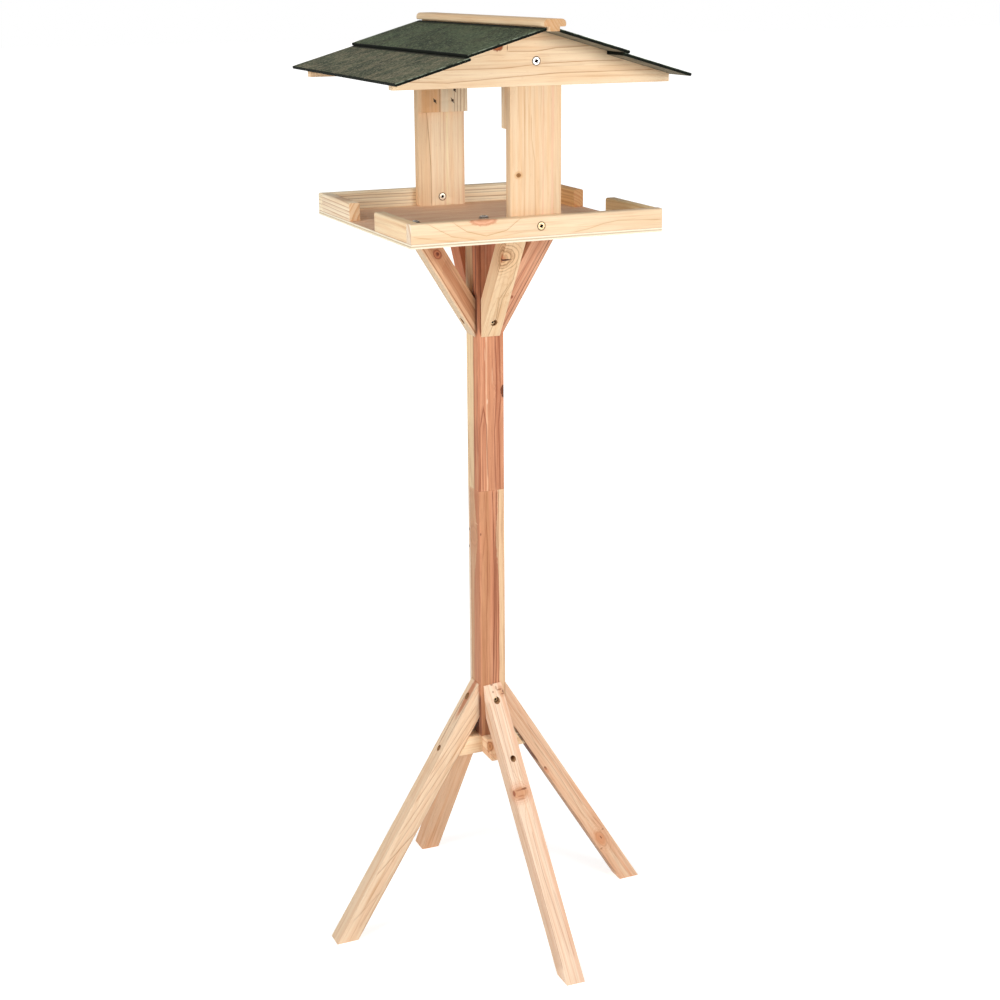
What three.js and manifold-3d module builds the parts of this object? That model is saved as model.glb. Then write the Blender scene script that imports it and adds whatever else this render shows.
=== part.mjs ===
/**
 * Wooden bird table on a pole.
 *
 * A square pole in two lengths stands on a half-lapped cross and is held upright by four splayed legs.
 * Four braces carry a plywood tray with a low rim, and two boards on the tray carry the gables of a
 * felt-covered roof with two overlapping panels on each slope and a ridge bar between them.
 *
 * Millimetres, +Z up. The origin is on the ground under the pole's axis. The front gable faces -Y and
 * the ridge runs along Y, so the roof slopes fall to -X (left) and +X (right).
 */
import * as THREE from 'three';
import { mergeVertices } from 'three/addons/utils/BufferGeometryUtils.js';
import Module from 'manifold-3d';

const wasm = await Module();
wasm.setup();

const { degToRad } = THREE.MathUtils;

// ---------------------------------------------------------------- driving dimensions

// Clearances
const SEAT_GAP = 0.3; // between pieces that meet on a slope
const LAP_GAP = 0.2; // on each face of the half-lap joint
const BORE_GAP = 0.3; // all round a screw or nail in its hole

// Pole: two equal lengths of square stock, butted and held by a double-ended screw
const POLE_SIDE = 35;
const POLE_PIECE_LENGTH = 337;
const JOINT_SCREW_RADIUS = 3;
const JOINT_SCREW_REACH = 32; // into each length of the pole

// Legs: square stock, cut to seat flat on the pole's faces and on the ground
const LEG_SIDE = 25;
const LEG_ANGLE = degToRad(58.4); // above the ground
const BACK_LEG_ANGLE = LEG_ANGLE + degToRad(1.6); // cut steeper than the others
const LEG_TOP_HEIGHT = 336;
const LEG_TIP = 0.8; // thickness left at the thin end of the seat cut
const LEG_SCREW_DROP = 19; // upper screw below the leg's top
const LEG_ABOVE_POLE_FOOT = 72; // leg's top above the pole's lower end

// Cross under the pole: two bars, half-lapped, that the legs are screwed to
const CROSS_WIDTH = 30;
const CROSS_HEIGHT = 24;
const CROSS_SCREW_RISE = 10; // leg screw above the cross's underside

// Braces: square stock, cut to seat on the pole's faces and under the tray
const BRACE_SIDE = 25;
const BRACE_ANGLE = degToRad(58.3); // above the ground
const BRACE_DROP = 138; // tray's underside to the thin lower end
const BRACE_TIP = 0.8;
const BRACE_SCREW_RISE = 19; // foot screw above the lower end

// Tray: plywood with a rim of moulded strip, open in the middle of the left and right sides
const TRAY_WIDTH = 315; // along X
const TRAY_DEPTH = 327; // along Y
const PLY_THICKNESS = 5.5;
const RIM_THICKNESS = 14;
const RIM_HEIGHT = 22;
const RIM_EDGE_RADIUS = 2.5; // on the two upper edges
const SIDE_OPENING = 89; // gap in each side rim

// End boards: a post, a gable above it and a cleat behind the two
const BOARD_THICKNESS = 12;
const POST_WIDTH = 63.5;
const POST_OFFSET = 0.75; // from the middle of its end, to +X
const POST_HEIGHT = 165.5;
const POST_CORNER_RADIUS = 2;
const CLEAT_HEIGHT = 88;
const CLEAT_DROP = 47; // below the gable's lower edge
const GABLE_WIDTH = 340;
const GABLE_END_HEIGHT = 9;
const GABLE_SCREW_RISE = 27; // above the gable's lower edge
const END_SCREW_OFFSET = 1.2; // gable and rim screws, from the middle to +X

// Roof: two panels on each slope, the upper one lapped over a step in the gable
const ROOF_PITCH = degToRad(16);
const STEP_FROM_CENTRE = 89.4;
const PANEL_THICKNESS = 3.5;
const PANEL_DEPTH = 380; // along Y
const UPPER_LAP = 8; // upper panel past the step
const EAVES_OVERHANG = 6.5; // lower panel past the gable's end
const SKEWED_PANEL = { side: 'left', skew: degToRad(0.75) }; // lower panel nailed on out of square
const RIDGE_LENGTH = 383;
const RIDGE_ACROSS = 2; // ridge bar from the middle, to +X
const RIDGE_FORWARD = 5; // ridge bar from the middle, to -Y
const RIDGE_STEM_WIDTH = 12;
const RIDGE_STEM_HEIGHT = 5;
const RIDGE_CAP_WIDTH = 27;
const RIDGE_CAP_HEIGHT = 8.3;
const RIDGE_TOP_RADIUS = 5;
const RIDGE_UNDER_RADIUS = 2;
const STEM_GAP = 0.5; // upper panel to ridge stem

// Screws: pan heads bear on a flat seat, countersunk heads lie just proud of the surface
const PAN_SCREW = { style: 'pan', headRadius: 4.6, headHeight: 2.6, shankRadius: 2, point: 5 };
const POLE_TOP_SCREW = { ...PAN_SCREW, headRadius: 5.4, headHeight: 3, shankRadius: 2.5, length: 55 };
const BRACE_TOP_SCREW = { ...PAN_SCREW, length: 24 };
const LEG_TOP_SCREW = { ...PAN_SCREW, headRadius: 3.7, headHeight: 2.3, length: 19 };
const LEG_CROSS_SCREW = { ...PAN_SCREW, headRadius: 3.1, headHeight: 2.1, shankRadius: 1.75 };
const BRACE_FOOT_SCREW = { ...PAN_SCREW, headRadius: 3.5, headHeight: 2.2, shankRadius: 1.75, length: 19 };
const FLUSH_SCREW = { style: 'countersunk', headRadius: 4.5, headHeight: 2.8, shankRadius: 2, point: 5 };
const RIM_SCREW = { ...FLUSH_SCREW, length: 23 };
const GABLE_SCREW = { ...FLUSH_SCREW, length: 21 };
const CROSS_SCREW = { ...FLUSH_SCREW, shankRadius: 2.5, headRadius: 5, headHeight: 3, length: 58 };
const HEAD_PROUD = 0.4; // countersunk head above the surface
const HEAD_RIM = 0.5; // straight edge of a countersunk head
const PAN_CROWN = 0.62; // flat crown of a pan head, as a share of its radius
const PAN_SHOULDER = [0.93, 0.6]; // its shoulder, as shares of the radius and the height
const LEG_TOP_HEAD_SEAT = 5.5; // wood between the pole and the head
const LEG_CROSS_HEAD_SEAT = 13; // wood between the cross and the head
const LEG_CROSS_TIP_GAP = 1.9; // wood left in front of the other bar of the cross
const BRACE_FOOT_HEAD_SEAT = 5;
const NAIL_HEAD = { headRadius: 1.7, headHeight: 0.5 };
const NAIL = { ...PAN_SCREW, ...NAIL_HEAD, shankRadius: 0.9, point: 2, length: 21, segments: 8 };
const CLEAT_NAILS = [
  { across: -12, drop: 33 },
  { across: 12, drop: 33 },
  { across: -15, drop: 20 },
]; // across the cleat, below the gable's lower edge

const HEADROOM = 60; // how far a head hole runs above the head's seat, past any surface that it opens to
const ROUND_SEGMENTS = 16;
const ARC_SEGMENTS = 4; // in a quarter circle

// Two of the legs lean a little sideways, swung about their upper screws
const SIDES = [
  { name: 'right', turn: 0, angle: LEG_ANGLE, lean: degToRad(0), bracedToTray: true },
  { name: 'back', turn: Math.PI / 2, angle: BACK_LEG_ANGLE, lean: degToRad(2.75), bracedToTray: false },
  { name: 'left', turn: Math.PI, angle: LEG_ANGLE, lean: degToRad(0), bracedToTray: true },
  { name: 'front', turn: -Math.PI / 2, angle: LEG_ANGLE, lean: degToRad(4), bracedToTray: false },
];
const ENDS = [
  { name: 'front', turn: 0, toRight: 1, screwFromInside: false },
  { name: 'back', turn: Math.PI, toRight: -1, screwFromInside: true },
];

// ---------------------------------------------------------------- levels and faces worked out from them

const poleFace = POLE_SIDE / 2;
const poleFoot = LEG_TOP_HEIGHT - LEG_ABOVE_POLE_FOOT;
const poleJoint = poleFoot + POLE_PIECE_LENGTH;
const poleTop = poleJoint + POLE_PIECE_LENGTH;
const crossFoot = poleFoot - CROSS_HEIGHT;
const trayFloor = poleTop + PLY_THICKNESS;
const rimMiddle = trayFloor + RIM_HEIGHT / 2;
const rimInnerFace = TRAY_DEPTH / 2 - RIM_THICKNESS;
const gableFoot = trayFloor + POST_HEIGHT;
const legScrewHeight = LEG_TOP_HEIGHT - LEG_SCREW_DROP;
const crossScrewHeight = crossFoot + CROSS_SCREW_RISE;
const braceFoot = poleTop - BRACE_DROP;
const braceScrewHeight = braceFoot + BRACE_SCREW_RISE;
const slope = Math.tan(ROOF_PITCH);
const panelRise = PANEL_THICKNESS / Math.cos(ROOF_PITCH); // panel thickness measured upright
const stepRise = panelRise + SEAT_GAP;
const lowerSlopeAtStep = gableFoot + GABLE_END_HEIGHT + slope * (GABLE_WIDTH / 2 - STEP_FROM_CENTRE);
const upperSlopeAtStep = lowerSlopeAtStep + stepRise;
const apexHeight = upperSlopeAtStep + slope * (STEP_FROM_CENTRE - RIDGE_STEM_WIDTH / 2);

// ---------------------------------------------------------------- materials

const finish = (color, roughness, metalness = 0) => ({ color, roughness, metalness });
const PALE_PINE = finish(0xedd0a2, 0.6);
const TAN_PINE = finish(0xdcb386, 0.62);
const RED_CEDAR = finish(0xc98f66, 0.6);
const PLYWOOD = finish(0xb98c6e, 0.7);
const ROOF_FELT = finish(0x49523f, 0.85);
const ZINC_STEEL = finish(0xb9bcc0, 0.35, 0.9);

// ---------------------------------------------------------------- solids

/** Closed three.js geometry to a manifold-3d solid with its faces pointing out. */
function toSolid(geometry) {
  const bare = geometry.clone();
  bare.deleteAttribute('normal');
  bare.deleteAttribute('uv');
  const merged = mergeVertices(bare);
  const vertProperties = Float32Array.from(merged.attributes.position.array);
  const corners = Array.from(merged.index.array);
  const solidOf = (order) => {
    const triVerts = Uint32Array.from(order);
    return new wasm.Manifold(new wasm.Mesh({ numProp: 3, vertProperties, triVerts }));
  };
  const solid = solidOf(corners);
  return solid.volume() > 0 ? solid : solidOf(corners.reverse());
}

/** manifold-3d solid to a flat-shaded three.js geometry. */
function toGeometry(solid) {
  const { vertProperties, triVerts } = solid.getMesh();
  const indexed = new THREE.BufferGeometry();
  indexed.setAttribute('position', new THREE.BufferAttribute(vertProperties, 3));
  indexed.setIndex(new THREE.BufferAttribute(triVerts, 1));
  const geometry = indexed.toNonIndexed();
  geometry.computeVertexNormals();
  return geometry;
}

/** Outline of [x, z] points extruded along Y, centred on y = 0. */
function extrudeAlongY(outline, depth) {
  const shape = new THREE.Shape(outline.map(([x, z]) => new THREE.Vector2(x, z)));
  const geometry = new THREE.ExtrudeGeometry(shape, { depth, bevelEnabled: false });
  return toSolid(geometry.rotateX(Math.PI / 2).translate(0, depth / 2, 0));
}

/** Square or oblong block between two corners. */
function block(low, high) {
  const [width, depth, height] = high.map((value, axis) => value - low[axis]);
  const geometry = new THREE.BoxGeometry(width, depth, height);
  return toSolid(geometry.translate(low[0] + width / 2, low[1] + depth / 2, low[2] + height / 2));
}

/** Round bar along +Z from the origin. */
function roundBar(radius, length, segments = ROUND_SEGMENTS) {
  const geometry = new THREE.CylinderGeometry(radius, radius, length, segments);
  return toSolid(geometry.rotateX(Math.PI / 2).translate(0, 0, length / 2));
}

/** Quarter circle as outline points, from one angle to the next quarter. */
function quarterArc(centreX, centreZ, radius, startQuarter) {
  return Array.from({ length: ARC_SEGMENTS + 1 }, (_, i) => {
    const angle = (startQuarter + i / ARC_SEGMENTS) * (Math.PI / 2);
    return [centreX + radius * Math.cos(angle), centreZ + radius * Math.sin(angle)];
  });
}

/** [radius, z] profile revolved about the Z axis. */
function revolve(profile, segments = ROUND_SEGMENTS) {
  const points = profile.map(([radius, z]) => new THREE.Vector2(radius, z));
  return toSolid(new THREE.LatheGeometry(points, segments).rotateX(Math.PI / 2));
}

const moved = (x, y, z) => new THREE.Matrix4().makeTranslation(x, y, z);
const turned = (angle) => new THREE.Matrix4().makeRotationZ(angle);
const quarterTurn = Math.PI / 2;
const headRight = new THREE.Matrix4().makeRotationY(quarterTurn); // a fastener's head goes from +Z to +X
const headForward = new THREE.Matrix4().makeRotationX(quarterTurn); // to -Y
const headBackward = new THREE.Matrix4().makeRotationX(-quarterTurn); // to +Y
const headDown = new THREE.Matrix4().makeRotationX(2 * quarterTurn); // to -Z

function transformed(solid, ...matrices) {
  const product = matrices.reduce((whole, matrix) => whole.multiply(matrix), new THREE.Matrix4());
  return solid.transform(product.elements);
}

const cutAll = (solid, cutters) => cutters.reduce((rest, cutter) => rest.subtract(cutter), solid);

// ---------------------------------------------------------------- screws and nails

/** Fastener with its bearing face (pan) or surface line (countersunk) at z = 0 and its point down. */
function fastener({ style, headRadius, headHeight, shankRadius, point, length, segments = ROUND_SEGMENTS }) {
  const crown = [0, headHeight];
  const shoulder = [headRadius * PAN_SHOULDER[0], headHeight * PAN_SHOULDER[1]];
  const head = style === 'pan'
    ? [crown, [headRadius * PAN_CROWN, headHeight], shoulder, [headRadius, 0]]
    : [[0, HEAD_PROUD], [headRadius, HEAD_PROUD], [headRadius, HEAD_PROUD - HEAD_RIM]];
  const neck = style === 'pan' ? 0 : HEAD_PROUD - headHeight;
  const shank = [[shankRadius, neck], [shankRadius, point - length], [0, -length]];
  return revolve([...head, ...shank], segments);
}

/** Hole for that fastener, in the same place: clear of the shank, and of the head and what is above it. */
function fastenerHole({ style, headRadius, headHeight, shankRadius, length, segments = ROUND_SEGMENTS }) {
  const shankHole = shankRadius + BORE_GAP;
  const headHole = headRadius + 2 * BORE_GAP;
  const deepest = -length - BORE_GAP;
  const neck = style === 'pan' ? 0 : HEAD_PROUD - headHeight - BORE_GAP;
  const shoulder = style === 'pan' ? 0 : HEAD_PROUD - HEAD_RIM - BORE_GAP;
  const shank = [[0, deepest], [shankHole, deepest], [shankHole, neck]];
  return revolve([...shank, [headHole, shoulder], [headHole, HEADROOM], [0, HEADROOM]], segments);
}

/** Double-ended screw for the pole's butt joint, centred on z = 0. */
function jointScrew() {
  const [radius, reach] = [JOINT_SCREW_RADIUS, JOINT_SCREW_REACH];
  const point = radius * 2;
  return revolve([[0, -reach], [radius, point - reach], [radius, reach - point], [0, reach]]);
}

// ---------------------------------------------------------------- legs and cross

const BELOW_GROUND = 20; // the leg starts over-long and is trimmed at the ground

/** Where the faces of a leg at `angle` lie, in the frame where +X points out from the pole. */
function legLines(angle) {
  const run = 1 / Math.tan(angle); // outwards for each millimetre down
  const seatFoot = LEG_TOP_HEIGHT + LEG_TIP / run - LEG_SIDE / Math.cos(angle);
  const innerAt = (height) => poleFace + (seatFoot - height) * run;
  const outerAt = (height) => poleFace + LEG_TIP + (LEG_TOP_HEIGHT - height) * run;
  return { run, seatFoot, innerAt, outerAt };
}

/** A leg's swing about its upper screw, in the same frame. */
const swing = (lean) => moved(0, 0, legScrewHeight)
  .multiply(new THREE.Matrix4().makeRotationX(lean))
  .multiply(moved(0, 0, -legScrewHeight));

/** Untrimmed leg, seen from the side as [outwards, height]; `grow` moves its inner faces inwards. */
function legBlank(angle, width, grow = 0) {
  const { run, seatFoot, innerAt, outerAt } = legLines(angle);
  const growOut = grow / Math.sin(angle);
  return extrudeAlongY([
    [poleFace, LEG_TOP_HEIGHT],
    [poleFace + LEG_TIP, LEG_TOP_HEIGHT],
    [outerAt(-BELOW_GROUND), -BELOW_GROUND],
    [innerAt(-BELOW_GROUND) - growOut, -BELOW_GROUND],
    [poleFace, seatFoot - growOut / run],
  ], width);
}

const legTopScrewAt = [poleFace + LEG_TOP_HEAD_SEAT, 0, legScrewHeight];
const legTopHole = transformed(fastenerHole(LEG_TOP_SCREW), moved(...legTopScrewAt), headRight);

/** The lower screw of a leg at `angle`: its place, and its sizes with the length that the cross leaves it. */
function legCrossScrew(angle) {
  const headSeat = legLines(angle).innerAt(crossScrewHeight) + LEG_CROSS_HEAD_SEAT;
  const length = headSeat - CROSS_WIDTH / 2 - LEG_CROSS_TIP_GAP;
  return { at: [headSeat, 0, crossScrewHeight], sizes: { ...LEG_CROSS_SCREW, length } };
}

function legCrossHole(angle) {
  const { at, sizes } = legCrossScrew(angle);
  return transformed(fastenerHole(sizes), moved(...at), headRight);
}

function legSolid({ angle, lean }) {
  const bored = cutAll(legBlank(angle, LEG_SIDE), [legTopHole, legCrossHole(angle)]);
  const reach = legLines(angle).outerAt(-BELOW_GROUND) + LEG_SIDE;
  return transformed(bored, swing(lean)).intersect(block([0, -reach, 0], [reach, reach, LEG_TOP_HEIGHT * 2]));
}

const crossScrewAt = [0, 0, crossFoot];
const crossScrewHole = transformed(fastenerHole(CROSS_SCREW), moved(...crossScrewAt), headDown);

/** How far out the cross runs into the room of a leg at `angle`, which cuts its end to the leg's slope. */
function crossReach(angle) {
  const { innerAt, outerAt } = legLines(angle);
  return (innerAt(crossFoot) + outerAt(poleFoot)) / 2;
}

/** One bar of the cross, along X, between its legs at the +X and -X ends; the lap leaves `keptHalf`. */
function crossBar([legAhead, legBehind], keptHalf) {
  const halfWidth = CROSS_WIDTH / 2;
  const ahead = crossReach(legAhead.angle);
  const behind = -crossReach(legBehind.angle);
  const bar = block([behind, -halfWidth, crossFoot], [ahead, halfWidth, poleFoot]);
  const ends = [legAhead, legBehind].flatMap(({ angle, lean }, i) => [
    transformed(legBlank(angle, CROSS_WIDTH * 2, SEAT_GAP), turned(i * Math.PI), swing(lean)),
    transformed(legCrossHole(angle), turned(i * Math.PI), swing(lean)),
  ]);
  const lapHalf = halfWidth + LAP_GAP;
  const middle = crossFoot + CROSS_HEIGHT / 2;
  const lap = keptHalf === 'lower'
    ? block([-lapHalf, -CROSS_WIDTH, middle - LAP_GAP / 2], [lapHalf, CROSS_WIDTH, poleFoot + CROSS_HEIGHT])
    : block([-lapHalf, -CROSS_WIDTH, crossFoot - CROSS_HEIGHT], [lapHalf, CROSS_WIDTH, middle + LAP_GAP / 2]);
  return cutAll(bar, [...ends, lap, crossScrewHole]);
}

// ---------------------------------------------------------------- braces

const braceRun = 1 / Math.tan(BRACE_ANGLE);
const braceSeatTop = braceFoot - BRACE_TIP / braceRun + BRACE_SIDE / Math.cos(BRACE_ANGLE);
const braceInnerAt = (height) => poleFace + (height - braceSeatTop) * braceRun;
const braceOuterAt = (height) => poleFace + BRACE_TIP + (height - braceFoot) * braceRun;
const braceTopMiddle = (braceInnerAt(poleTop) + braceOuterAt(poleTop)) / 2;

const braceFootScrewAt = [poleFace + BRACE_FOOT_HEAD_SEAT, 0, braceScrewHeight];
const braceFootHole = transformed(fastenerHole(BRACE_FOOT_SCREW), moved(...braceFootScrewAt), headRight);
const braceTopScrewAt = [braceTopMiddle, 0, trayFloor];
const braceTopHole = transformed(fastenerHole(BRACE_TOP_SCREW), moved(...braceTopScrewAt));

function braceSolid(bracedToTray) {
  const blank = extrudeAlongY([
    [poleFace, braceFoot],
    [poleFace + BRACE_TIP, braceFoot],
    [braceOuterAt(poleTop), poleTop],
    [braceInnerAt(poleTop), poleTop],
    [poleFace, braceSeatTop],
  ], BRACE_SIDE);
  return cutAll(blank, bracedToTray ? [braceFootHole, braceTopHole] : [braceFootHole]);
}

// ---------------------------------------------------------------- pole

const poleTopScrewAt = [0, 0, trayFloor];
const poleTopHole = transformed(fastenerHole(POLE_TOP_SCREW), moved(...poleTopScrewAt));
const jointHoleReach = JOINT_SCREW_REACH + BORE_GAP;
const jointHole = transformed(roundBar(JOINT_SCREW_RADIUS + BORE_GAP, 2 * jointHoleReach),
  moved(0, 0, poleJoint - jointHoleReach));
const atEverySide = (hole) => SIDES.map(({ turn }) => transformed(hole, turned(turn)));

function poleLength(foot, holes) {
  const bar = block([-poleFace, -poleFace, foot], [poleFace, poleFace, foot + POLE_PIECE_LENGTH]);
  return cutAll(bar, [jointHole, ...holes]);
}

// ---------------------------------------------------------------- tray

function trayBase() {
  const [halfWidth, halfDepth] = [TRAY_WIDTH / 2, TRAY_DEPTH / 2];
  const board = block([-halfWidth, -halfDepth, poleTop], [halfWidth, halfDepth, trayFloor]);
  const braced = SIDES.filter((side) => side.bracedToTray);
  return cutAll(board, [poleTopHole, ...braced.map(({ turn }) => transformed(braceTopHole, turned(turn)))]);
}

/** Rim strip with its two upper edges rounded, as long as asked along X and centred on the origin. */
function rimStrip(length) {
  const half = RIM_THICKNESS / 2;
  const radius = RIM_EDGE_RADIUS;
  const section = [
    [-half, 0],
    [half, 0],
    ...quarterArc(half - radius, RIM_HEIGHT - radius, radius, 0),
    ...quarterArc(radius - half, RIM_HEIGHT - radius, radius, 1),
  ];
  return transformed(extrudeAlongY(section, length), turned(quarterTurn));
}

const stubLength = rimInnerFace - SIDE_OPENING / 2;
const stubMiddle = (rimInnerFace + SIDE_OPENING / 2) / 2;

// ---------------------------------------------------------------- ends, drawn for the front


const postFront = -rimInnerFace; // its front face lies against the rim
const postBack = postFront + BOARD_THICKNESS;
const cleatBack = postBack + BOARD_THICKNESS;
const nailsAt = CLEAT_NAILS.map(({ across, drop }) => [across, cleatBack, gableFoot - drop]);
const nailHoles = nailsAt.map((place) => transformed(fastenerHole(NAIL), moved(...place), headBackward));

/** The gable screw and rim screw of an end; `toRight` is +X in its frame, where it is drawn as the front. */
function endScrews({ toRight, screwFromInside }) {
  const across = END_SCREW_OFFSET * toRight;
  const gableScrew = { at: [across, postFront, gableFoot + GABLE_SCREW_RISE], heading: headForward };
  const rimScrew = screwFromInside
    ? { at: [across, postBack, rimMiddle], heading: headBackward }
    : { at: [across, -TRAY_DEPTH / 2, rimMiddle], heading: headForward };
  return { gableScrew, rimScrew };
}

const screwHole = (sizes, { at, heading }) => transformed(fastenerHole(sizes), moved(...at), heading);

function endRim(end) {
  const strip = transformed(rimStrip(TRAY_WIDTH), moved(0, (postFront - TRAY_DEPTH / 2) / 2, trayFloor));
  return strip.subtract(screwHole(RIM_SCREW, endScrews(end).rimScrew));
}

function post(end) {
  const half = POST_WIDTH / 2;
  const radius = POST_CORNER_RADIUS;
  const outline = [
    ...quarterArc(radius - half, trayFloor + radius, radius, 2),
    ...quarterArc(half - radius, trayFloor + radius, radius, 3),
    [half, gableFoot],
    [-half, gableFoot],
  ];
  const place = moved(POST_OFFSET * end.toRight, (postFront + postBack) / 2, 0);
  const board = transformed(extrudeAlongY(outline, BOARD_THICKNESS), place);
  return cutAll(board, [screwHole(RIM_SCREW, endScrews(end).rimScrew), ...nailHoles]);
}

function cleat(end) {
  const foot = gableFoot - CLEAT_DROP;
  const middle = POST_OFFSET * end.toRight;
  const half = POST_WIDTH / 2;
  const board = block([middle - half, postBack, foot], [middle + half, cleatBack, foot + CLEAT_HEIGHT]);
  return cutAll(board, [screwHole(GABLE_SCREW, endScrews(end).gableScrew), ...nailHoles]);
}

/** Gable board: each slope drops by a step so that the lower roof panel lies level with the upper slope. */
function gable(end) {
  const half = GABLE_WIDTH / 2;
  const rightSlope = [
    [half, gableFoot],
    [half, gableFoot + GABLE_END_HEIGHT],
    [STEP_FROM_CENTRE, lowerSlopeAtStep],
    [STEP_FROM_CENTRE, upperSlopeAtStep],
    [RIDGE_STEM_WIDTH / 2, apexHeight],
  ];
  const leftSlope = rightSlope.map(([x, z]) => [-x, z]).reverse();
  const outline = extrudeAlongY([...rightSlope, ...leftSlope], BOARD_THICKNESS);
  const board = transformed(outline, moved(0, (postFront + postBack) / 2, 0));
  return board.subtract(screwHole(GABLE_SCREW, endScrews(end).gableScrew));
}

// ---------------------------------------------------------------- roof

/** Roof panel on the right slope from `inner` to `outer` (at its underside), lying on a slope line. */
function roofPanel(inner, outer, slopeAtInner) {
  const lean = [PANEL_THICKNESS * Math.sin(ROOF_PITCH), PANEL_THICKNESS * Math.cos(ROOF_PITCH)];
  const underside = slopeAtInner + SEAT_GAP;
  const under = [[inner, underside], [outer, underside - slope * (outer - inner)]];
  const over = under.map(([x, z]) => [x + lean[0], z + lean[1]]).reverse();
  return extrudeAlongY([...under, ...over], PANEL_DEPTH);
}

/** Upper panel, drawn on the right slope up to the ridge stem; `toRight` is +X in that frame. */
function upperPanel(toRight) {
  const inner = RIDGE_STEM_WIDTH / 2 + STEM_GAP + RIDGE_ACROSS * toRight;
  const slopeAtInner = apexHeight - slope * (inner - RIDGE_STEM_WIDTH / 2);
  return roofPanel(inner, STEP_FROM_CENTRE + UPPER_LAP, slopeAtInner);
}

/** Lower panel, drawn on the right slope; `skew` turns it on the slope about its corner at the -Y gable. */
function lowerPanel(skew) {
  const inner = STEP_FROM_CENTRE + SEAT_GAP;
  const slopeAtInner = lowerSlopeAtStep - slope * SEAT_GAP;
  const corner = [inner, -rimInnerFace, slopeAtInner];
  const upFromSlope = new THREE.Vector3(Math.sin(ROOF_PITCH), 0, Math.cos(ROOF_PITCH));
  const panel = roofPanel(inner, GABLE_WIDTH / 2 + EAVES_OVERHANG, slopeAtInner);
  return transformed(panel, moved(...corner)
    .multiply(new THREE.Matrix4().makeRotationAxis(upFromSlope, -skew))
    .multiply(moved(...corner.map((c) => -c))));
}

/** Ridge bar: a stem between the upper panels and a rounded cap over their edges. */
function ridgeBar() {
  const stem = RIDGE_STEM_WIDTH / 2;
  const cap = RIDGE_CAP_WIDTH / 2;
  const capFoot = apexHeight + RIDGE_STEM_HEIGHT;
  const capTop = capFoot + RIDGE_CAP_HEIGHT;
  const bar = extrudeAlongY([
    [-stem, apexHeight],
    [stem, apexHeight],
    [stem, capFoot],
    ...quarterArc(cap - RIDGE_UNDER_RADIUS, capFoot + RIDGE_UNDER_RADIUS, RIDGE_UNDER_RADIUS, 3),
    ...quarterArc(cap - RIDGE_TOP_RADIUS, capTop - RIDGE_TOP_RADIUS, RIDGE_TOP_RADIUS, 0),
    ...quarterArc(RIDGE_TOP_RADIUS - cap, capTop - RIDGE_TOP_RADIUS, RIDGE_TOP_RADIUS, 1),
    ...quarterArc(RIDGE_UNDER_RADIUS - cap, capFoot + RIDGE_UNDER_RADIUS, RIDGE_UNDER_RADIUS, 2),
    [-stem, capFoot],
  ], RIDGE_LENGTH);
  return transformed(bar, moved(RIDGE_ACROSS, -RIDGE_FORWARD, 0));
}

// ---------------------------------------------------------------- assembly

function mesh(name, solid, look, position = [0, 0, 0]) {
  const material = new THREE.MeshStandardMaterial({ ...look, flatShading: true });
  const piece = new THREE.Mesh(toGeometry(solid), material);
  piece.name = name;
  piece.position.set(...position);
  return piece;
}

/** Screw or nail with its head turned from +Z by `heading`. */
function fastenerMesh(name, sizes, position, heading = new THREE.Matrix4()) {
  const piece = mesh(name, fastener(sizes), ZINC_STEEL, position);
  piece.rotation.setFromRotationMatrix(heading);
  return piece;
}

function groupTurned(angle, pieces) {
  const group = new THREE.Group();
  group.rotation.z = angle;
  group.add(...pieces);
  return group;
}

/** A leg and its two screws, swung together. */
function legWithScrews({ name, angle, lean }) {
  const crossScrew = legCrossScrew(angle);
  const swung = new THREE.Group();
  swung.position.set(0, Math.sin(lean) * legScrewHeight, (1 - Math.cos(lean)) * legScrewHeight);
  swung.rotation.x = lean;
  swung.add(
    fastenerMesh(`leg_top_screw_${name}`, LEG_TOP_SCREW, legTopScrewAt, headRight),
    fastenerMesh(`leg_cross_screw_${name}`, crossScrew.sizes, crossScrew.at, headRight),
  );
  return [mesh(`leg_${name}`, legSolid({ angle, lean }), TAN_PINE), swung];
}

function braceWithScrews({ name, bracedToTray }) {
  const pieces = [
    mesh(`brace_${name}`, braceSolid(bracedToTray), TAN_PINE),
    fastenerMesh(`brace_foot_screw_${name}`, BRACE_FOOT_SCREW, braceFootScrewAt, headRight),
  ];
  if (bracedToTray) {
    pieces.push(fastenerMesh(`brace_top_screw_${name}`, BRACE_TOP_SCREW, braceTopScrewAt));
  }
  return pieces;
}

function endPieces(end) {
  const { name } = end;
  const { gableScrew, rimScrew } = endScrews(end);
  return [
    mesh(`rim_${name}`, endRim(end), PALE_PINE),
    mesh(`post_${name}`, post(end), PALE_PINE),
    mesh(`cleat_${name}`, cleat(end), PALE_PINE),
    mesh(`gable_${name}`, gable(end), PALE_PINE),
    fastenerMesh(`rim_screw_${name}`, RIM_SCREW, rimScrew.at, rimScrew.heading),
    fastenerMesh(`gable_screw_${name}`, GABLE_SCREW, gableScrew.at, gableScrew.heading),
    ...nailsAt.map((place, i) => fastenerMesh(`cleat_nail_${name}_${i + 1}`, NAIL, place, headBackward)),
  ];
}

const [right, back, left, front] = SIDES;
const poleAndCross = [
  mesh('pole_lower', poleLength(poleFoot, [crossScrewHole, ...atEverySide(legTopHole)]), RED_CEDAR),
  mesh('pole_upper', poleLength(poleJoint, [poleTopHole, ...atEverySide(braceFootHole)]), RED_CEDAR),
  mesh('pole_joint_screw', jointScrew(), ZINC_STEEL, [0, 0, poleJoint]),
  mesh('cross_bar_sideways', crossBar([right, left], 'lower'), PALE_PINE),
  groupTurned(back.turn, [mesh('cross_bar_lengthways', crossBar([back, front], 'upper'), TAN_PINE)]),
  fastenerMesh('cross_screw', CROSS_SCREW, crossScrewAt, headDown),
];

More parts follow.
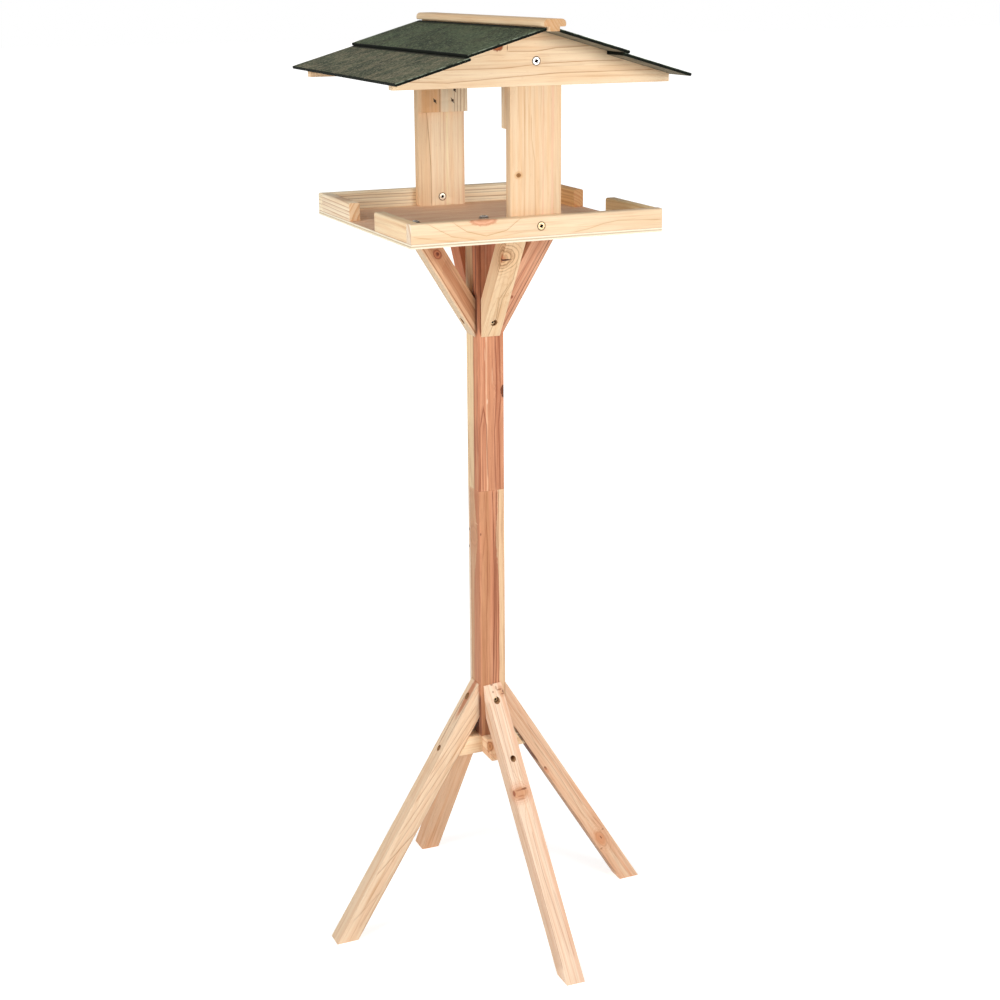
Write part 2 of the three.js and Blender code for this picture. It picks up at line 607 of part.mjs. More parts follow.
const stub = transformed(rimStrip(stubLength), turned(quarterTurn));
const stubFromCentre = (TRAY_WIDTH - RIM_THICKNESS) / 2;
const rimCorners = [
  ['left_front', -1, -1],
  ['left_back', -1, 1],
  ['right_front', 1, -1],
  ['right_back', 1, 1],
];
const stubs = rimCorners.map(([corner, x, y]) =>
  mesh(`rim_${corner}`, stub, PALE_PINE, [x * stubFromCentre, y * stubMiddle, trayFloor]));
const tray = [
  mesh('tray_base', trayBase(), PLYWOOD),
  fastenerMesh('pole_top_screw', POLE_TOP_SCREW, poleTopScrewAt),
  ...stubs,
];

const roof = [
  ...[['right', 0, 1], ['left', Math.PI, -1]].map(([side, turn, toRight]) => groupTurned(turn, [
    mesh(`roof_upper_${side}`, upperPanel(toRight), ROOF_FELT),
    mesh(`roof_lower_${side}`, lowerPanel(side === SKEWED_PANEL.side ? SKEWED_PANEL.skew : 0), ROOF_FELT),
  ])),
  mesh('ridge_bar', ridgeBar(), PALE_PINE),
];

const birdTable = new THREE.Group();
birdTable.add(...poleAndCross, ...tray, ...roof);
SIDES.forEach((side) => {
  birdTable.add(groupTurned(side.turn, [...legWithScrews(side), ...braceWithScrews(side)]));
});
ENDS.forEach((end) => birdTable.add(groupTurned(end.turn, endPieces(end))));

export default birdTable;
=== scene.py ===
"""Looks of the bird table: planed timber, plywood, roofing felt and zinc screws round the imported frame."""

from math import cos, pi, radians, sin

import bpy
from mathutils import Matrix, Vector


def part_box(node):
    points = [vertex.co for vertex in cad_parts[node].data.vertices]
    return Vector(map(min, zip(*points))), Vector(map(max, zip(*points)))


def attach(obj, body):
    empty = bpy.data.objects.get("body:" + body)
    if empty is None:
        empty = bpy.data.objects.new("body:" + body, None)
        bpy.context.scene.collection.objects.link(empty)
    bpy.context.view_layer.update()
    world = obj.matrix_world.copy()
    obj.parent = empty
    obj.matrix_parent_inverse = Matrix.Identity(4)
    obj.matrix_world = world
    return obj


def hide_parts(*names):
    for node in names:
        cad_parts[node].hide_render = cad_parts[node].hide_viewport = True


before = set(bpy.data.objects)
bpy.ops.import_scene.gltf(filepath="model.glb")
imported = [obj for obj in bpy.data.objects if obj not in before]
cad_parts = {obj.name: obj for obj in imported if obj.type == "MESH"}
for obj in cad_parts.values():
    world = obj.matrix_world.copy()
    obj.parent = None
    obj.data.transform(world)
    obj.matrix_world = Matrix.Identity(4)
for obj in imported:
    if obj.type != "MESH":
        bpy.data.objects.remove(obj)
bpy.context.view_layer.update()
bpy.ops.object.select_all(action="DESELECT")

MM = 0.001
X, Y, Z = Vector((1, 0, 0)), Vector((0, 1, 0)), Vector((0, 0, 1))


# ---------------- shader bench

class Wire:
    """A socket that can be added to, multiplied and so on, as a number can."""

    def __init__(self, bench, socket):
        self.bench, self.socket = bench, socket

    def maths(self, operation, *values):
        return self.bench.node("Math", {"operation": operation}, dict(enumerate(values)))

    def __add__(self, other):
        return self.maths("ADD", self, other)

    def __sub__(self, other):
        return self.maths("SUBTRACT", self, other)

    def __rsub__(self, other):
        return self.maths("SUBTRACT", other, self)

    def __mul__(self, other):
        return self.maths("MULTIPLY", self, other)

    def __truediv__(self, other):
        return self.maths("DIVIDE", self, other)

    def __rtruediv__(self, other):
        return self.maths("DIVIDE", other, self)

    __radd__ = __add__
    __rmul__ = __mul__

    def fraction(self):
        return self.maths("FRACT", self)

    def whole(self):
        return self.maths("FLOOR", self)

    def sine(self):
        return self.maths("SINE", self)

    def size(self):
        return self.maths("ABSOLUTE", self)

    def most(self, other):
        return self.maths("MAXIMUM", self, other)

    def rise(self, start, end):
        """0 below start, 1 above end, and a smooth rise between; start above end gives a fall."""
        low, high = (start, end) if start < end else (end, start)
        up = self.bench.node("MapRange", {"interpolation_type": "SMOOTHSTEP"},
                             {"Value": self, "From Min": low, "From Max": high})
        return up if start < end else 1 - up


def paint(text):
    """A colour as it is seen, written as six hex digits, in the linear light that shaders use."""
    seen = [int(text[i:i + 2], 16) / 255 for i in (0, 2, 4)]
    return tuple(c / 12.92 if c <= 0.04045 else ((c + 0.055) / 1.055) ** 2.4 for c in seen) + (1.0,)


class Bench:
    """The node tree of a material or of the world."""

    def __init__(self, owner):
        owner.use_nodes = True
        self.owner, self.tree = owner, owner.node_tree
        self.tree.nodes.clear()

    def node(self, kind, settings=None, sockets=None, output=0):
        made = self.tree.nodes.new("ShaderNode" + kind)
        for key, value in (settings or {}).items():
            setattr(made, key, value)
        for key, value in (sockets or {}).items():
            socket = made.inputs[key]
            if isinstance(value, Wire):
                self.tree.links.new(value.socket, socket)
            else:
                socket.default_value = value
        return Wire(self, made.outputs[output]) if len(made.outputs) else None

    def blend(self, share, first, second, how="MIX"):
        """Mixes two colours, each of them a wire or six hex digits."""
        first, second = (paint(c) if isinstance(c, str) else c for c in (first, second))
        return self.node("Mix", {"data_type": "RGBA", "blend_type": how}, {0: share, 6: first, 7: second}, 2)

    def layers(self, colour, *coats):
        """Lays coats over a colour, each of them a share and a colour."""
        for share, coat in coats:
            colour = self.blend(share, colour, coat)
        return colour

    def vector(self, operation, *values, output=0):
        return self.node("VectorMath", {"operation": operation}, dict(enumerate(values)), output)

    def length(self, vector):
        return self.vector("LENGTH", vector, output=1)

    def part(self, vector, axis):
        """One of a vector's three numbers."""
        return self.node("SeparateXYZ", {}, {0: vector}, axis)

    def turned(self, vector, turn, shift):
        """A vector in turned axes, then moved by shift."""
        return self.node("Mapping", {"vector_type": "POINT"},
                         {"Vector": vector, "Location": shift, "Rotation": turn.to_euler()})

    def place(self):
        """Object coordinates in millimetres."""
        return self.vector("MULTIPLY", self.node("TexCoord", output="Object"), (1 / MM,) * 3)

    def noise(self, where, detail=2.0, roughness=0.5, colour=False, scale=1.0):
        return self.node("TexNoise", {}, {"Vector": where, "Scale": scale, "Detail": detail,
                                          "Roughness": roughness}, 1 if colour else 0)

    def stretched(self, where, pace, detail=2.0, roughness=0.5, colour=False):
        """Noise that changes at its own pace for each millimetre along each axis."""
        return self.noise(self.vector("MULTIPLY", where, pace), detail, roughness, colour)

    def seen(self):
        """1 where the camera sees it, straight or in a reflection, and 0 for all other light."""
        straight = self.node("LightPath", output="Is Camera Ray")
        return straight.most(self.node("LightPath", output="Is Glossy Ray"))

    def surface(self, colour, roughness, bump=None, depth=0.0002, specular=0.2, metallic=0.0):
        sockets = {"Base Color": colour, "Roughness": roughness, "Metallic": metallic,
                   "Specular IOR Level": specular}
        if bump is not None:
            sockets["Normal"] = self.node("Bump", {}, {"Strength": 1.0, "Distance": depth, "Height": bump})
        self.node("OutputMaterial", {}, {"Surface": self.node("BsdfPrincipled", {}, sockets)})
        return self.owner


def material_bench(name):
    return Bench(bpy.data.materials.new(name))


# ---------------- timber

# how fast each unevenness of timber changes, for each millimetre across, deep and along the grain
SLOW, DRIFT, BLOTCH = (0.016, 0.016, 0.0045), (0.006, 0.006, 0.0008), (0.035, 0.035, 0.012)
RIPPLE, BROAD, STREAKY = (0.11, 0.11, 0.02), (0.13, 0.13, 0.0035), (0.42, 0.42, 0.011)
FIBRE, FLECK = (1.3, 1.3, 0.03), (1.4, 1.4, 0.13)
LOG_STEP = 1731.0      # from one piece's stretch of log to the next
RAGGED_STEP = 31.0     # from one knot's or spot's unevenness to the next
FIRST_SPOT = 7         # the number of the first spot's unevenness; the knots' start from 0
KNOT_DEPTH, SPOT_DEPTH, SWELL_DEPTH = 16.0, 6.0, 1000.0
HEAD_SHADE_TONE = "5A4230"      # painted shade round each flush screw head


class Timber:
    """A piece of solid wood in its own axes: across its best face, deep into it and along its grain."""

    def __init__(self, name, middle, grain, face, look):
        self.look = look
        self.bench = bench = material_bench(name)
        self.here = bench.place()
        along = grain.normalized()
        deep = -(face - along * face.dot(along)).normalized()
        self.turn = Matrix((deep.cross(along), deep, along))
        self.local = bench.turned(self.here, self.turn, -(self.turn @ (Vector(middle) / MM)))
        self.across, self.deep, self.along = (bench.part(self.local, axis) for axis in range(3))

        tilt = self.turn @ (along + Vector(look.get("lean", (0, 0, 0))))
        straighten = tilt.rotation_difference(Z).to_matrix()
        pith = straighten @ self.turn @ Vector(look.get("pith", (8, 60, 0)))
        self.from_pith = bench.turned(self.local, straighten, -pith)
        self.log = bench.vector("ADD", self.from_pith, (0, 0, look["seed"] * LOG_STEP))

        self.slow = bench.stretched(self.log, SLOW, 2.0, 0.45, True)
        self.ripple = bench.stretched(self.log, RIPPLE)
        self.broad = bench.stretched(self.log, BROAD)
        self.streaky = bench.stretched(self.log, STREAKY, 3.0, 0.65)
        self.fibre = bench.stretched(self.log, FIBRE, 3.0, 0.6)
        self.wander = look.get("wander", 6.0)
        self.knots = []
        for number, (place, width, tall, *side) in enumerate(look.get("knots", ())):
            even = self.reach(place, width, tall, KNOT_DEPTH, *side)
            self.knots.append((width, even, self.ragged(even, number)))

    def reach(self, place, width, tall, depth, side="face", tilt=0):
        """How far from a place in the wood, 1 at the rim of an oval of that width, height and depth."""
        size = (width / 2, depth / 2, tall / 2) if side == "face" else (depth / 2, width / 2, tall / 2)
        away = self.bench.node("Mapping", {"vector_type": "TEXTURE"},
                               {"Vector": self.local, "Location": self.turn @ Vector(place),
                                "Rotation": (0, radians(tilt), 0), "Scale": size})
        return self.bench.length(away)

    def ragged(self, far, number):
        """The same reach with an uneven rim."""
        where = self.bench.vector("ADD", self.local, (number * RAGGED_STEP, 0, 0))
        return far * (0.75 + self.bench.noise(where, 2.0, 0.5, False, 0.3) * 0.5)

    def grow_rings(self):
        """Sets the distance from the pith, the place in each year's ring and the share of dark late wood."""
        bench, look = self.bench, self.look
        strayed = bench.vector("MULTIPLY_ADD", self.slow, (2 * self.wander, 2 * self.wander, 0),
                               bench.vector("ADD", self.from_pith, (-self.wander, -self.wander, 0)))
        radius = bench.length(bench.vector("MULTIPLY", strayed, (1, 1, 0))) + self.ripple * 1.6
        for width, even, far in self.knots:
            radius = radius + width * look.get("bulge", 0.6) / (1 + far * far * 0.25)
        for place, width, tall, lift in look.get("swells", ()):
            far = self.reach(place, width, tall, SWELL_DEPTH)
            radius = radius + lift / (1 + far * far)

        ring = look["ring"]
        drift = bench.stretched(self.log, DRIFT) * 2
        uneven_years = bench.node("TexNoise", {"noise_dimensions": "1D"},
                                  {"W": radius / (2.3 * ring) + look["seed"], "Scale": 1.0, "Detail": 1.0})
        years = radius / ring + drift + uneven_years * 2.2
        luck = bench.node("TexWhiteNoise", {"noise_dimensions": "1D"}, {"W": years.whole() + look["seed"]})
        self.radius, self.year = radius, years.fraction()
        late = self.year.rise(*look["late"]) * self.year.rise(1.0, 0.94)
        self.late = late * (0.15 + luck * luck * 0.85)

    def clear_wood(self):
        """The colour of the wood with its rings, streaks and sapwood."""
        bench, look = self.bench, self.look
        blotch = bench.stretched(self.log, BLOTCH)
        colour = bench.layers(look["pale"], (self.broad.rise(0.45, 0.64) * look["streaks"], look["streak"]),
                              (blotch.rise(0.5, 0.72) * 0.25, look["streak"]),
                              (self.late * look["contrast"], look["line"]))
        if "sap" in look:
            start, tone = look["sap"]
            share = (self.radius + (self.ripple - 0.5) * 2).rise(start, start + 1.2) * 0.93
            colour = bench.blend(share, colour, bench.blend(self.late * 0.35, tone, look["streak"]))
        return colour

    def add_bands(self, colour):
        stray = (self.bench.part(self.slow, 0) - 0.5) * self.wander
        for way, place, half, tone, strength, *ends in self.look.get("bands", ()):
            side = self.across if way == "across" else self.deep
            off = (side + (self.ripple - 0.5) * 2.5 + stray - place).size()
            share = off.rise(half * 1.25, half * 0.6) * (strength * 0.6 + self.broad * strength * 0.8)
            if ends:
                low, high = ends
                share = share * self.along.rise(low - 6, low + 6) * self.along.rise(high + 6, high - 6)
            colour = self.bench.blend(share, colour, tone)
        return colour

    # Lines along the grain: grain lines, and painted shade lines where parts meet and along shaded arrises.
    def add_veins(self, colour):
        for tone, strength, half, points, *way in self.look.get("veins", ()):
            line = (self.deep if way else self.across) - points[0][1] + (self.ripple - 0.5) * 1.4
            for (start, low), (end, high) in zip(points, points[1:]):
                line = line - self.bench.node("MapRange", {}, {"Value": self.along, "From Min": start,
                                                               "From Max": end, "To Min": 0.0,
                                                               "To Max": float(high - low)})
            first, last = points[0][0], points[-1][0]
            span = self.along.rise(first - 5, first + 5) * self.along.rise(last + 5, last - 5)
            if "end" in self.look:
                span = span * self.along.size().rise(self.look["end"][0] - 0.1, self.look["end"][0] - 0.4)
            thin = line.size().rise(half * 1.6, half * 0.4) * (0.3 + self.streaky * 1.1)
            # a faint painted shade on one side of each line
            soft = line.rise(-half * 7, -half * 0.5) * line.rise(half * 0.8, 0.0) * 0.22
            colour = self.bench.blend(thin.most(soft) * span * strength, colour, tone)
        return colour

    def add_grain(self, colour):
        """Long dark and pale flecks, toned cut ends, fine fibres and short flecks."""
        bench, look = self.bench, self.look
        colour = bench.layers(colour, (self.streaky.rise(0.5, 0.72) * look["grainy"], look["line"]),
                              (self.streaky.rise(0.46, 0.3) * look["grainy"] * 0.7, look["pale"]))
        if "end" in look:
            half, tone, strength = look["end"]
            cut = self.along.size().rise(half - 0.4, half - 0.1)
            rings = self.year.rise(0.25, 0.9) * self.year.rise(1.0, 0.94)
            colour = bench.layers(colour, (cut * strength, tone), (cut * rings * 0.6, look["line"]))
        fibres = self.fibre.rise(0.3, 0.75) * look.get("fibres", 0.16)
        colour = bench.blend(fibres, colour, look["line"], "MULTIPLY")
        fleck = bench.stretched(self.log, FLECK, 1.0, 0.5).rise(0.7, 0.78)
        return bench.blend(fleck * 0.2, colour, look.get("knot", "8A4A2A"))

    def add_knots(self, colour):
        bench, look = self.bench, self.look
        dark, heart = look.get("knot", "A4603A"), look.get("heart", "5E2E18")
        for width, even, far in self.knots:
            turns = (far * 13.0 + self.ripple * 5.0).sine() * 0.5 + 0.5
            inside = bench.blend(turns * 0.5 + far.rise(0.5, 0.1) * 0.4, dark, heart)
            rim = far.rise(0.72, 0.95) * far.rise(1.2, 0.98) * look.get("rim", 0.55)
            outlines = (even * 2.7 + self.ripple * 1.2).fraction().rise(0.62, 0.88)
            outlines = outlines * even.rise(2.4, 1.3) * even.rise(0.35, 0.6) * (0.2 + self.streaky * 1.2)
            colour = bench.layers(
                colour, (far.rise(2.6, 0.9) * look.get("halo", 0.5), look.get("stain", look["streak"])),
                (far.rise(1.08, 0.86) * look.get("fill", 1.0), inside),
                (rim * (0.4 + self.streaky * 1.1), heart), (outlines * look.get("outlines", 0.0), heart))
        return colour

    def add_spots(self, colour):
        for number, (place, width, tall, tone, strength, *more) in enumerate(self.look.get("spots", ())):
            far = self.ragged(self.reach(place, width, tall, *(more or [SPOT_DEPTH])), FIRST_SPOT + number)
            colour = self.bench.blend(far.rise(1.15, 0.55) * strength, colour, tone)
        return colour

    def shade_round_heads(self, colour, heads):
        """Paints a ring of shade round each flush screw head."""
        bench = self.bench
        for centre, way, radius in heads:
            off = bench.vector("SUBTRACT", self.here, centre / MM)
            level = bench.vector("DOT_PRODUCT", off, way, output=1).size()
            far = bench.length(bench.vector("CROSS_PRODUCT", off, way))
            ring = far.rise(radius / MM + 1.3, radius / MM + 0.3) * level.rise(4.0, 2.0)
            colour = bench.blend(ring * 0.7, colour, HEAD_SHADE_TONE)
        return colour


def wood(name, middle, grain, face, look, heads=()):
    """Solid timber: rings round the tree's centre, streaks, flecks and knots, alike on every face and end.

    middle is the piece's centre, grain the way its fibres run and face the way its best side faces. heads
    are the flush screw heads in it, each with its centre, the way it faces and its radius; a ring of
    painted shade goes round each. In look, lengths are in millimetres and places are measured from the
    piece's middle:
    seed: which stretch of log it is from. pith: the tree's centre; lean: how far it drifts for each unit
    along the grain. ring: a year's growth; late: where in it the dark wood starts and is darkest; wander:
    how far rings stray. pale, streak, line: the tones of the wood, its streaks and its dark lines. streaks,
    contrast, grainy, fibres: how strong streaks, rings, long flecks and fibres are. sap: how far from the
    pith the sapwood starts, and its tone. end: half the length, and the tone of the cut ends and its
    strength. bands: across or deep, place, half width, tone, strength, and maybe where it ends along the
    grain; some are painted shade. veins: grain lines, and painted shade lines where parts
    meet and along shaded arrises, each with a faint painted shade on one side: tone, strength, half
    width, points (along, across), and "deep" where they are (along, deep). knots: place, width, height,
    and "side" where it is on a side face. knot, heart, stain: the tones of its wood, its middle and what
    surrounds it; bulge: how far it pushes the rings; halo, fill, rim, outlines: how strong its parts are.
    swells: place, width, height and how far the rings rise, where no knot shows. spots: place, width,
    height, tone, strength, and maybe depth, "face" or "side", and tilt; some are painted shade.
    """
    timber = Timber(name, middle, grain, face, look)
    timber.grow_rings()
    colour = timber.clear_wood()
    for step in (timber.add_bands, timber.add_veins, timber.add_grain, timber.add_knots, timber.add_spots):
        colour = step(colour)
    colour = timber.shade_round_heads(colour, heads)
    rough = 0.58 + timber.fibre * 0.14 + timber.late * -0.08
    height = timber.fibre * 0.6 + timber.late * -0.5
    return timber.bench.surface(colour, rough, height, 0.00025, specular=0.25)


# ---------------- ply, felt and metal

def plywood(name, middle, pace, tones, heads):
    """A sheet's two faces: brown veneer with long open grain, and painted shade round its screw heads."""
    bench = material_bench(name)
    place = bench.place()
    here = bench.vector("SUBTRACT", place, middle / MM)
    slow = bench.stretched(here, pace, 3.0, 0.55)
    fine = bench.stretched(here, tuple(9 * p for p in pace), 3.0, 0.6)
    pores = bench.stretched(here, tuple(22 * p for p in pace)).rise(0.6, 0.72)
    colour = bench.layers(tones[0], (slow.rise(0.3, 0.7) * 0.8, tones[1]),
                          (fine.rise(0.42, 0.7) * 0.45, tones[2]), (pores * 0.3, tones[3]))
    # painted shade: a dark ring round each screw head on the tray
    for centre, _, radius in heads:
        off = bench.vector("MULTIPLY_ADD", place, (1, 1, 0), (-centre.x / MM, -centre.y / MM, 0))
        shade_round_heads = bench.length(off).rise(radius / MM + 2.2, radius / MM + 0.2) * 0.85
        colour = bench.blend(shade_round_heads, colour, "3A261A")
    return bench.surface(colour, 0.66 + fine * 0.12, fine * 0.5 + pores * -0.8, specular=0.25)


def ply_edges(name, foot, thickness):
    """A sheet's cut edges: pale veneers with a darker one between, and thin glue lines."""
    bench = material_bench(name)
    here = bench.place()
    wave = bench.stretched(here, (0.05, 0.05, 0.3)) * 0.35
    level = (bench.part(here, 2) - foot / MM + wave) / (thickness / MM)
    grain = bench.stretched(here, (0.7, 0.7, 2.5), 3.0, 0.6)
    middle = level.rise(0.38, 0.44) * level.rise(0.64, 0.58)
    glue = level.rise(0.28, 0.32) * level.rise(0.37, 0.33) + level.rise(0.65, 0.69) * level.rise(0.74, 0.7)
    colour = bench.layers("FFF5DE", (grain.rise(0.3, 0.7) * 0.5, "F3E3C0"), (middle * 0.75, "BE9C70"),
                          (glue * 0.25, "9A7852"), (level.rise(0.88, 0.97) * 0.6, "A67A58"))
    return bench.surface(colour, 0.7, grain * 0.6 + middle * -0.4, 0.0003, specular=0.25)


def felt(name, tones, wear, middle, lap):
    """Mineral felt: crushed grit pressed in tar, cloudy and streaked down the slope where it has worn.

    wear is the share of the worn tone; lap is how far from the middle the next piece up ends, with a
    near-black line of painted shade below its edge.
    """
    deep_green, green, worn, pale_grit, dark_grit = tones
    bench = material_bench(name)
    here = bench.place()
    cell = {"Vector": here, "Scale": 0.5, "Randomness": 1.0}
    grain = bench.node("SeparateColor", {}, {0: bench.node("TexVoronoi", {}, cell, 1)})
    cloud = bench.noise(here, 4.0, 0.6, False, 0.02)
    flow = bench.vector("MULTIPLY_ADD", bench.noise(here, 2.0, 0.5, True, 0.012), (30, 30, 30), here)
    run = bench.stretched(flow, (0.034, 0.05, 0.034), 5.0, 0.74)
    speck = bench.stretched(flow, (0.3, 0.38, 0.3), 3.0, 0.65)
    out = (bench.part(here, 0) - middle).size() + speck * 1.5
    colour = bench.layers(
        deep_green, (cloud.rise(0.42, 0.58), green), (run.rise(0.44, 0.62) * wear, worn),
        (speck.rise(0.54, 0.7) * (0.25 + 0.5 * wear), pale_grit), (speck.rise(0.46, 0.32) * 0.6, dark_grit),
        (grain.rise(0.7, 0.98) * 0.55, pale_grit), (grain.rise(0.3, 0.05) * 0.55, dark_grit),
        # painted shade: a near-black line below the edge of the piece above
        (out.rise(lap + 4.5, lap + 1.5) * 0.85, "0D120B"))
    height = bench.node("TexVoronoi", {}, cell) * -0.6 + speck * 0.8
    return bench.surface(colour, 0.82 + grain * 0.12, height, 0.0006)


def mottled(name, tones, spread, noise, rough, depth=0.0, specular=0.2):
    """A simple finish in two tones, shared out by one noise, which also roughens it.

    spread: the noise where the second tone starts and is full, and its strength; noise: its pace along each
    axis, its detail and its roughness; rough: the least roughness, and how much the noise adds.
    """
    bench = material_bench(name)
    pace, *kind = noise
    mottle = bench.stretched(bench.place(), pace, *kind)
    start, full, strength = spread
    colour = bench.blend(mottle.rise(start, full) * strength, *tones)
    return bench.surface(colour, rough[0] + mottle * rough[1], mottle if depth else None, depth, specular)


def board_back(name):
    """The unfaced underside of the roof boards: grey-brown, with fine saw lines along the roof."""
    bench = material_bench(name)
    here = bench.place()
    lines = bench.stretched(here, (0.9, 0.012, 0.9), 3.0, 0.6)
    cloud = bench.noise(here, 3.0, 0.55, False, 0.02)
    colour = bench.layers("6E6857", (lines.rise(0.35, 0.68), "99917D"),
                          (cloud.rise(0.4, 0.7) * 0.5, "5C5A4B"))
    return bench.surface(colour, 0.8, lines)


def zinc(name, bright, dull):
    bench = material_bench(name)
    here = bench.place()
    turned = bench.noise(here, 3.0, 0.6, False, 1.6)
    spots = bench.noise(here, 2.0, 0.5, False, 0.5)
    colour = bench.blend(spots.rise(0.4, 0.7), bright, dull)
    return bench.surface(colour, 0.36 + turned * 0.2, turned, 0.00005, specular=0.5, metallic=0.6)


def plain(name, tone, rough=0.5):
    """A dull finish with a little soiling."""
    return mottled(name, (tone, "241A12"), (0.3, 0.7, 0.5), ((0.8,) * 3, 2.0, 0.5), (rough, 0.1))


# ---------------- pieces

WELD = 0.002 * MM                  # points nearer than this are one point
FLAT_ANGLE = radians(0.4)          # faces that meet at less than this are one face
ARRIS_ANGLE, SMOOTH_ANGLE = radians(32), radians(33)
TIMBER_EASE, SHEET_EASE, PANEL_EASE = 0.7, 0.3, 0.8


def activate(piece):
    bpy.ops.object.select_all(action="DESELECT")
    piece.select_set(True)
    bpy.context.view_layer.objects.active = piece


def add_modifier(piece, kind, **settings):
    """Adds a modifier and applies it, so the mesh itself has its result."""
    activate(piece)
    modifier = piece.modifiers.new(kind.title(), kind)
    for key, value in settings.items():
        setattr(modifier, key, value)
    bpy.ops.object.modifier_apply(modifier=modifier.name)


def link_new(name, data):
    made = bpy.data.objects.new(name, data)
    bpy.context.scene.collection.objects.link(made)
    return made


def clean_copy(node, name):
    """A piece in the shape of a CAD node, with its loose triangles joined up."""
    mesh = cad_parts[node].data.copy()
    mesh.materials.clear()
    piece = link_new(name, mesh)
    activate(piece)
    bpy.ops.object.mode_set(mode="EDIT")
    bpy.ops.mesh.select_all(action="SELECT")
    bpy.ops.mesh.remove_doubles(threshold=WELD)
    bpy.ops.mesh.dissolve_limited(angle_limit=FLAT_ANGLE)
    bpy.ops.object.mode_set(mode="OBJECT")
    return piece


def give_finishes(piece, *finishes):
    for finish in finishes:
        piece.data.materials.append(finish)


def eased(piece, width, segments):
    """Rubs down a piece's arrises."""
    add_modifier(piece, "BEVEL", width=width * MM, segments=segments, limit_method="ANGLE",
                 angle_limit=ARRIS_ANGLE, use_clamp_overlap=True, miter_outer="MITER_SHARP")
    activate(piece)
    bpy.ops.object.shade_smooth_by_angle(angle=SMOOTH_ANGLE)


def fit(piece, node):
    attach(piece, "root")
    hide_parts(node)


def middle_of(node):
    low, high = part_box(node)
    return (low + high) / 2


PINE = {"pale": "F8DDB9", "line": "CB9560", "streak": "EDC394", "ring": 5.0, "contrast": 0.45, "streaks": 0.5,
        "late": (0.45, 0.93), "grainy": 0.34}
TAN = {"pale": "F4CFA8", "line": "B97A4C", "streak": "E2AB7F", "ring": 4.2, "contrast": 0.45, "streaks": 0.6,
       "late": (0.4, 0.93), "grainy": 0.36}
RED = {"pale": "E4A37D", "line": "96502F", "streak": "CB815C", "ring": 3.6, "contrast": 0.45, "streaks": 0.7,
       "late": (0.35, 0.93), "fibres": 0.22, "grainy": 0.32}
SAPWOOD = "FCE2B4"
BROWN, DARK, UMBER = "B98456", "96683F", "5E2C1C"

LOOKS = {}


def look_of(node, kind, **own):
    """Says what a piece of timber looks like, in the words of wood(); each has its own stretch of log."""
    LOOKS[node] = {**kind, "seed": len(LOOKS) + 1, **own}


look_of("pole_upper", RED, pith=(25, -30, 0), sap=(50.3, SAPWOOD), wander=3, bulge=1.6, knot="7E4228",
    heart="2E140C", knots=[((17.5, -17.5, -40), 8, 16)],
    bands=[
        ("across", -5.6, 1.2, "F6C8A2", 0.7), ("across", 11, 3.4, "BC7450", 0.35),
        ("across", -0.5, 4.5, "CB8A64", 0.5), ("deep", -4.5, 1.6, "A66C49", 0.6),
        ("across", -16, 1.2, "9C5238", 0.4)],
    veins=[
        ("8E4A30", 0.8, 0.7, ((-168, -15.5), (-85, -15), (-60, -10.3))),
        ("8E4A30", 0.8, 0.7, ((-150, -5), (-82, -6.5), (-60, -10))),
        ("9C5238", 0.6, 0.6, ((-168, -11.5), (-95, -11), (-78, -9.8))),
        ("8E4A30", 0.8, 0.8, ((-168, 6), (-90, 5), (-40, 8), (60, 6))),
        ("8E4A30", 0.8, 0.8, ((-168, 12), (-80, 10.5), (-52, 13), (-28, 13), (80, 10))),
        # painted shade: the dark lines beside the braces where they meet the pole
        (UMBER, 0.9, 0.6, ((34, -13.1), (168, -13.1))), (UMBER, 0.9, 0.6, ((34, 13.1), (168, 13.1))),
        ("32140C", 1.0, 1.1, ((40, -13.6), (168, -13.6)), "deep"),
        ("32140C", 0.85, 0.5, ((34, -17.4), (84, -17.4)))],
    spots=[
        ((-6, -17.5, 30), 1.6, 14, "F4CFB0", 0.6), ((-5, -17.5, -52), 2.2, 8, "F4CFB0", 0.7),
        ((-8, -17.5, 8), 1.2, 20, "F4CFB0", 0.4), ((2, -17.5, -20), 1.5, 26, "F2C4A2", 0.5),
        # painted shade: the broad dark patch at the top of the front face, under the tray
        ((0, -17.5, 150), 30, 70, "8A4430", 0.35)])
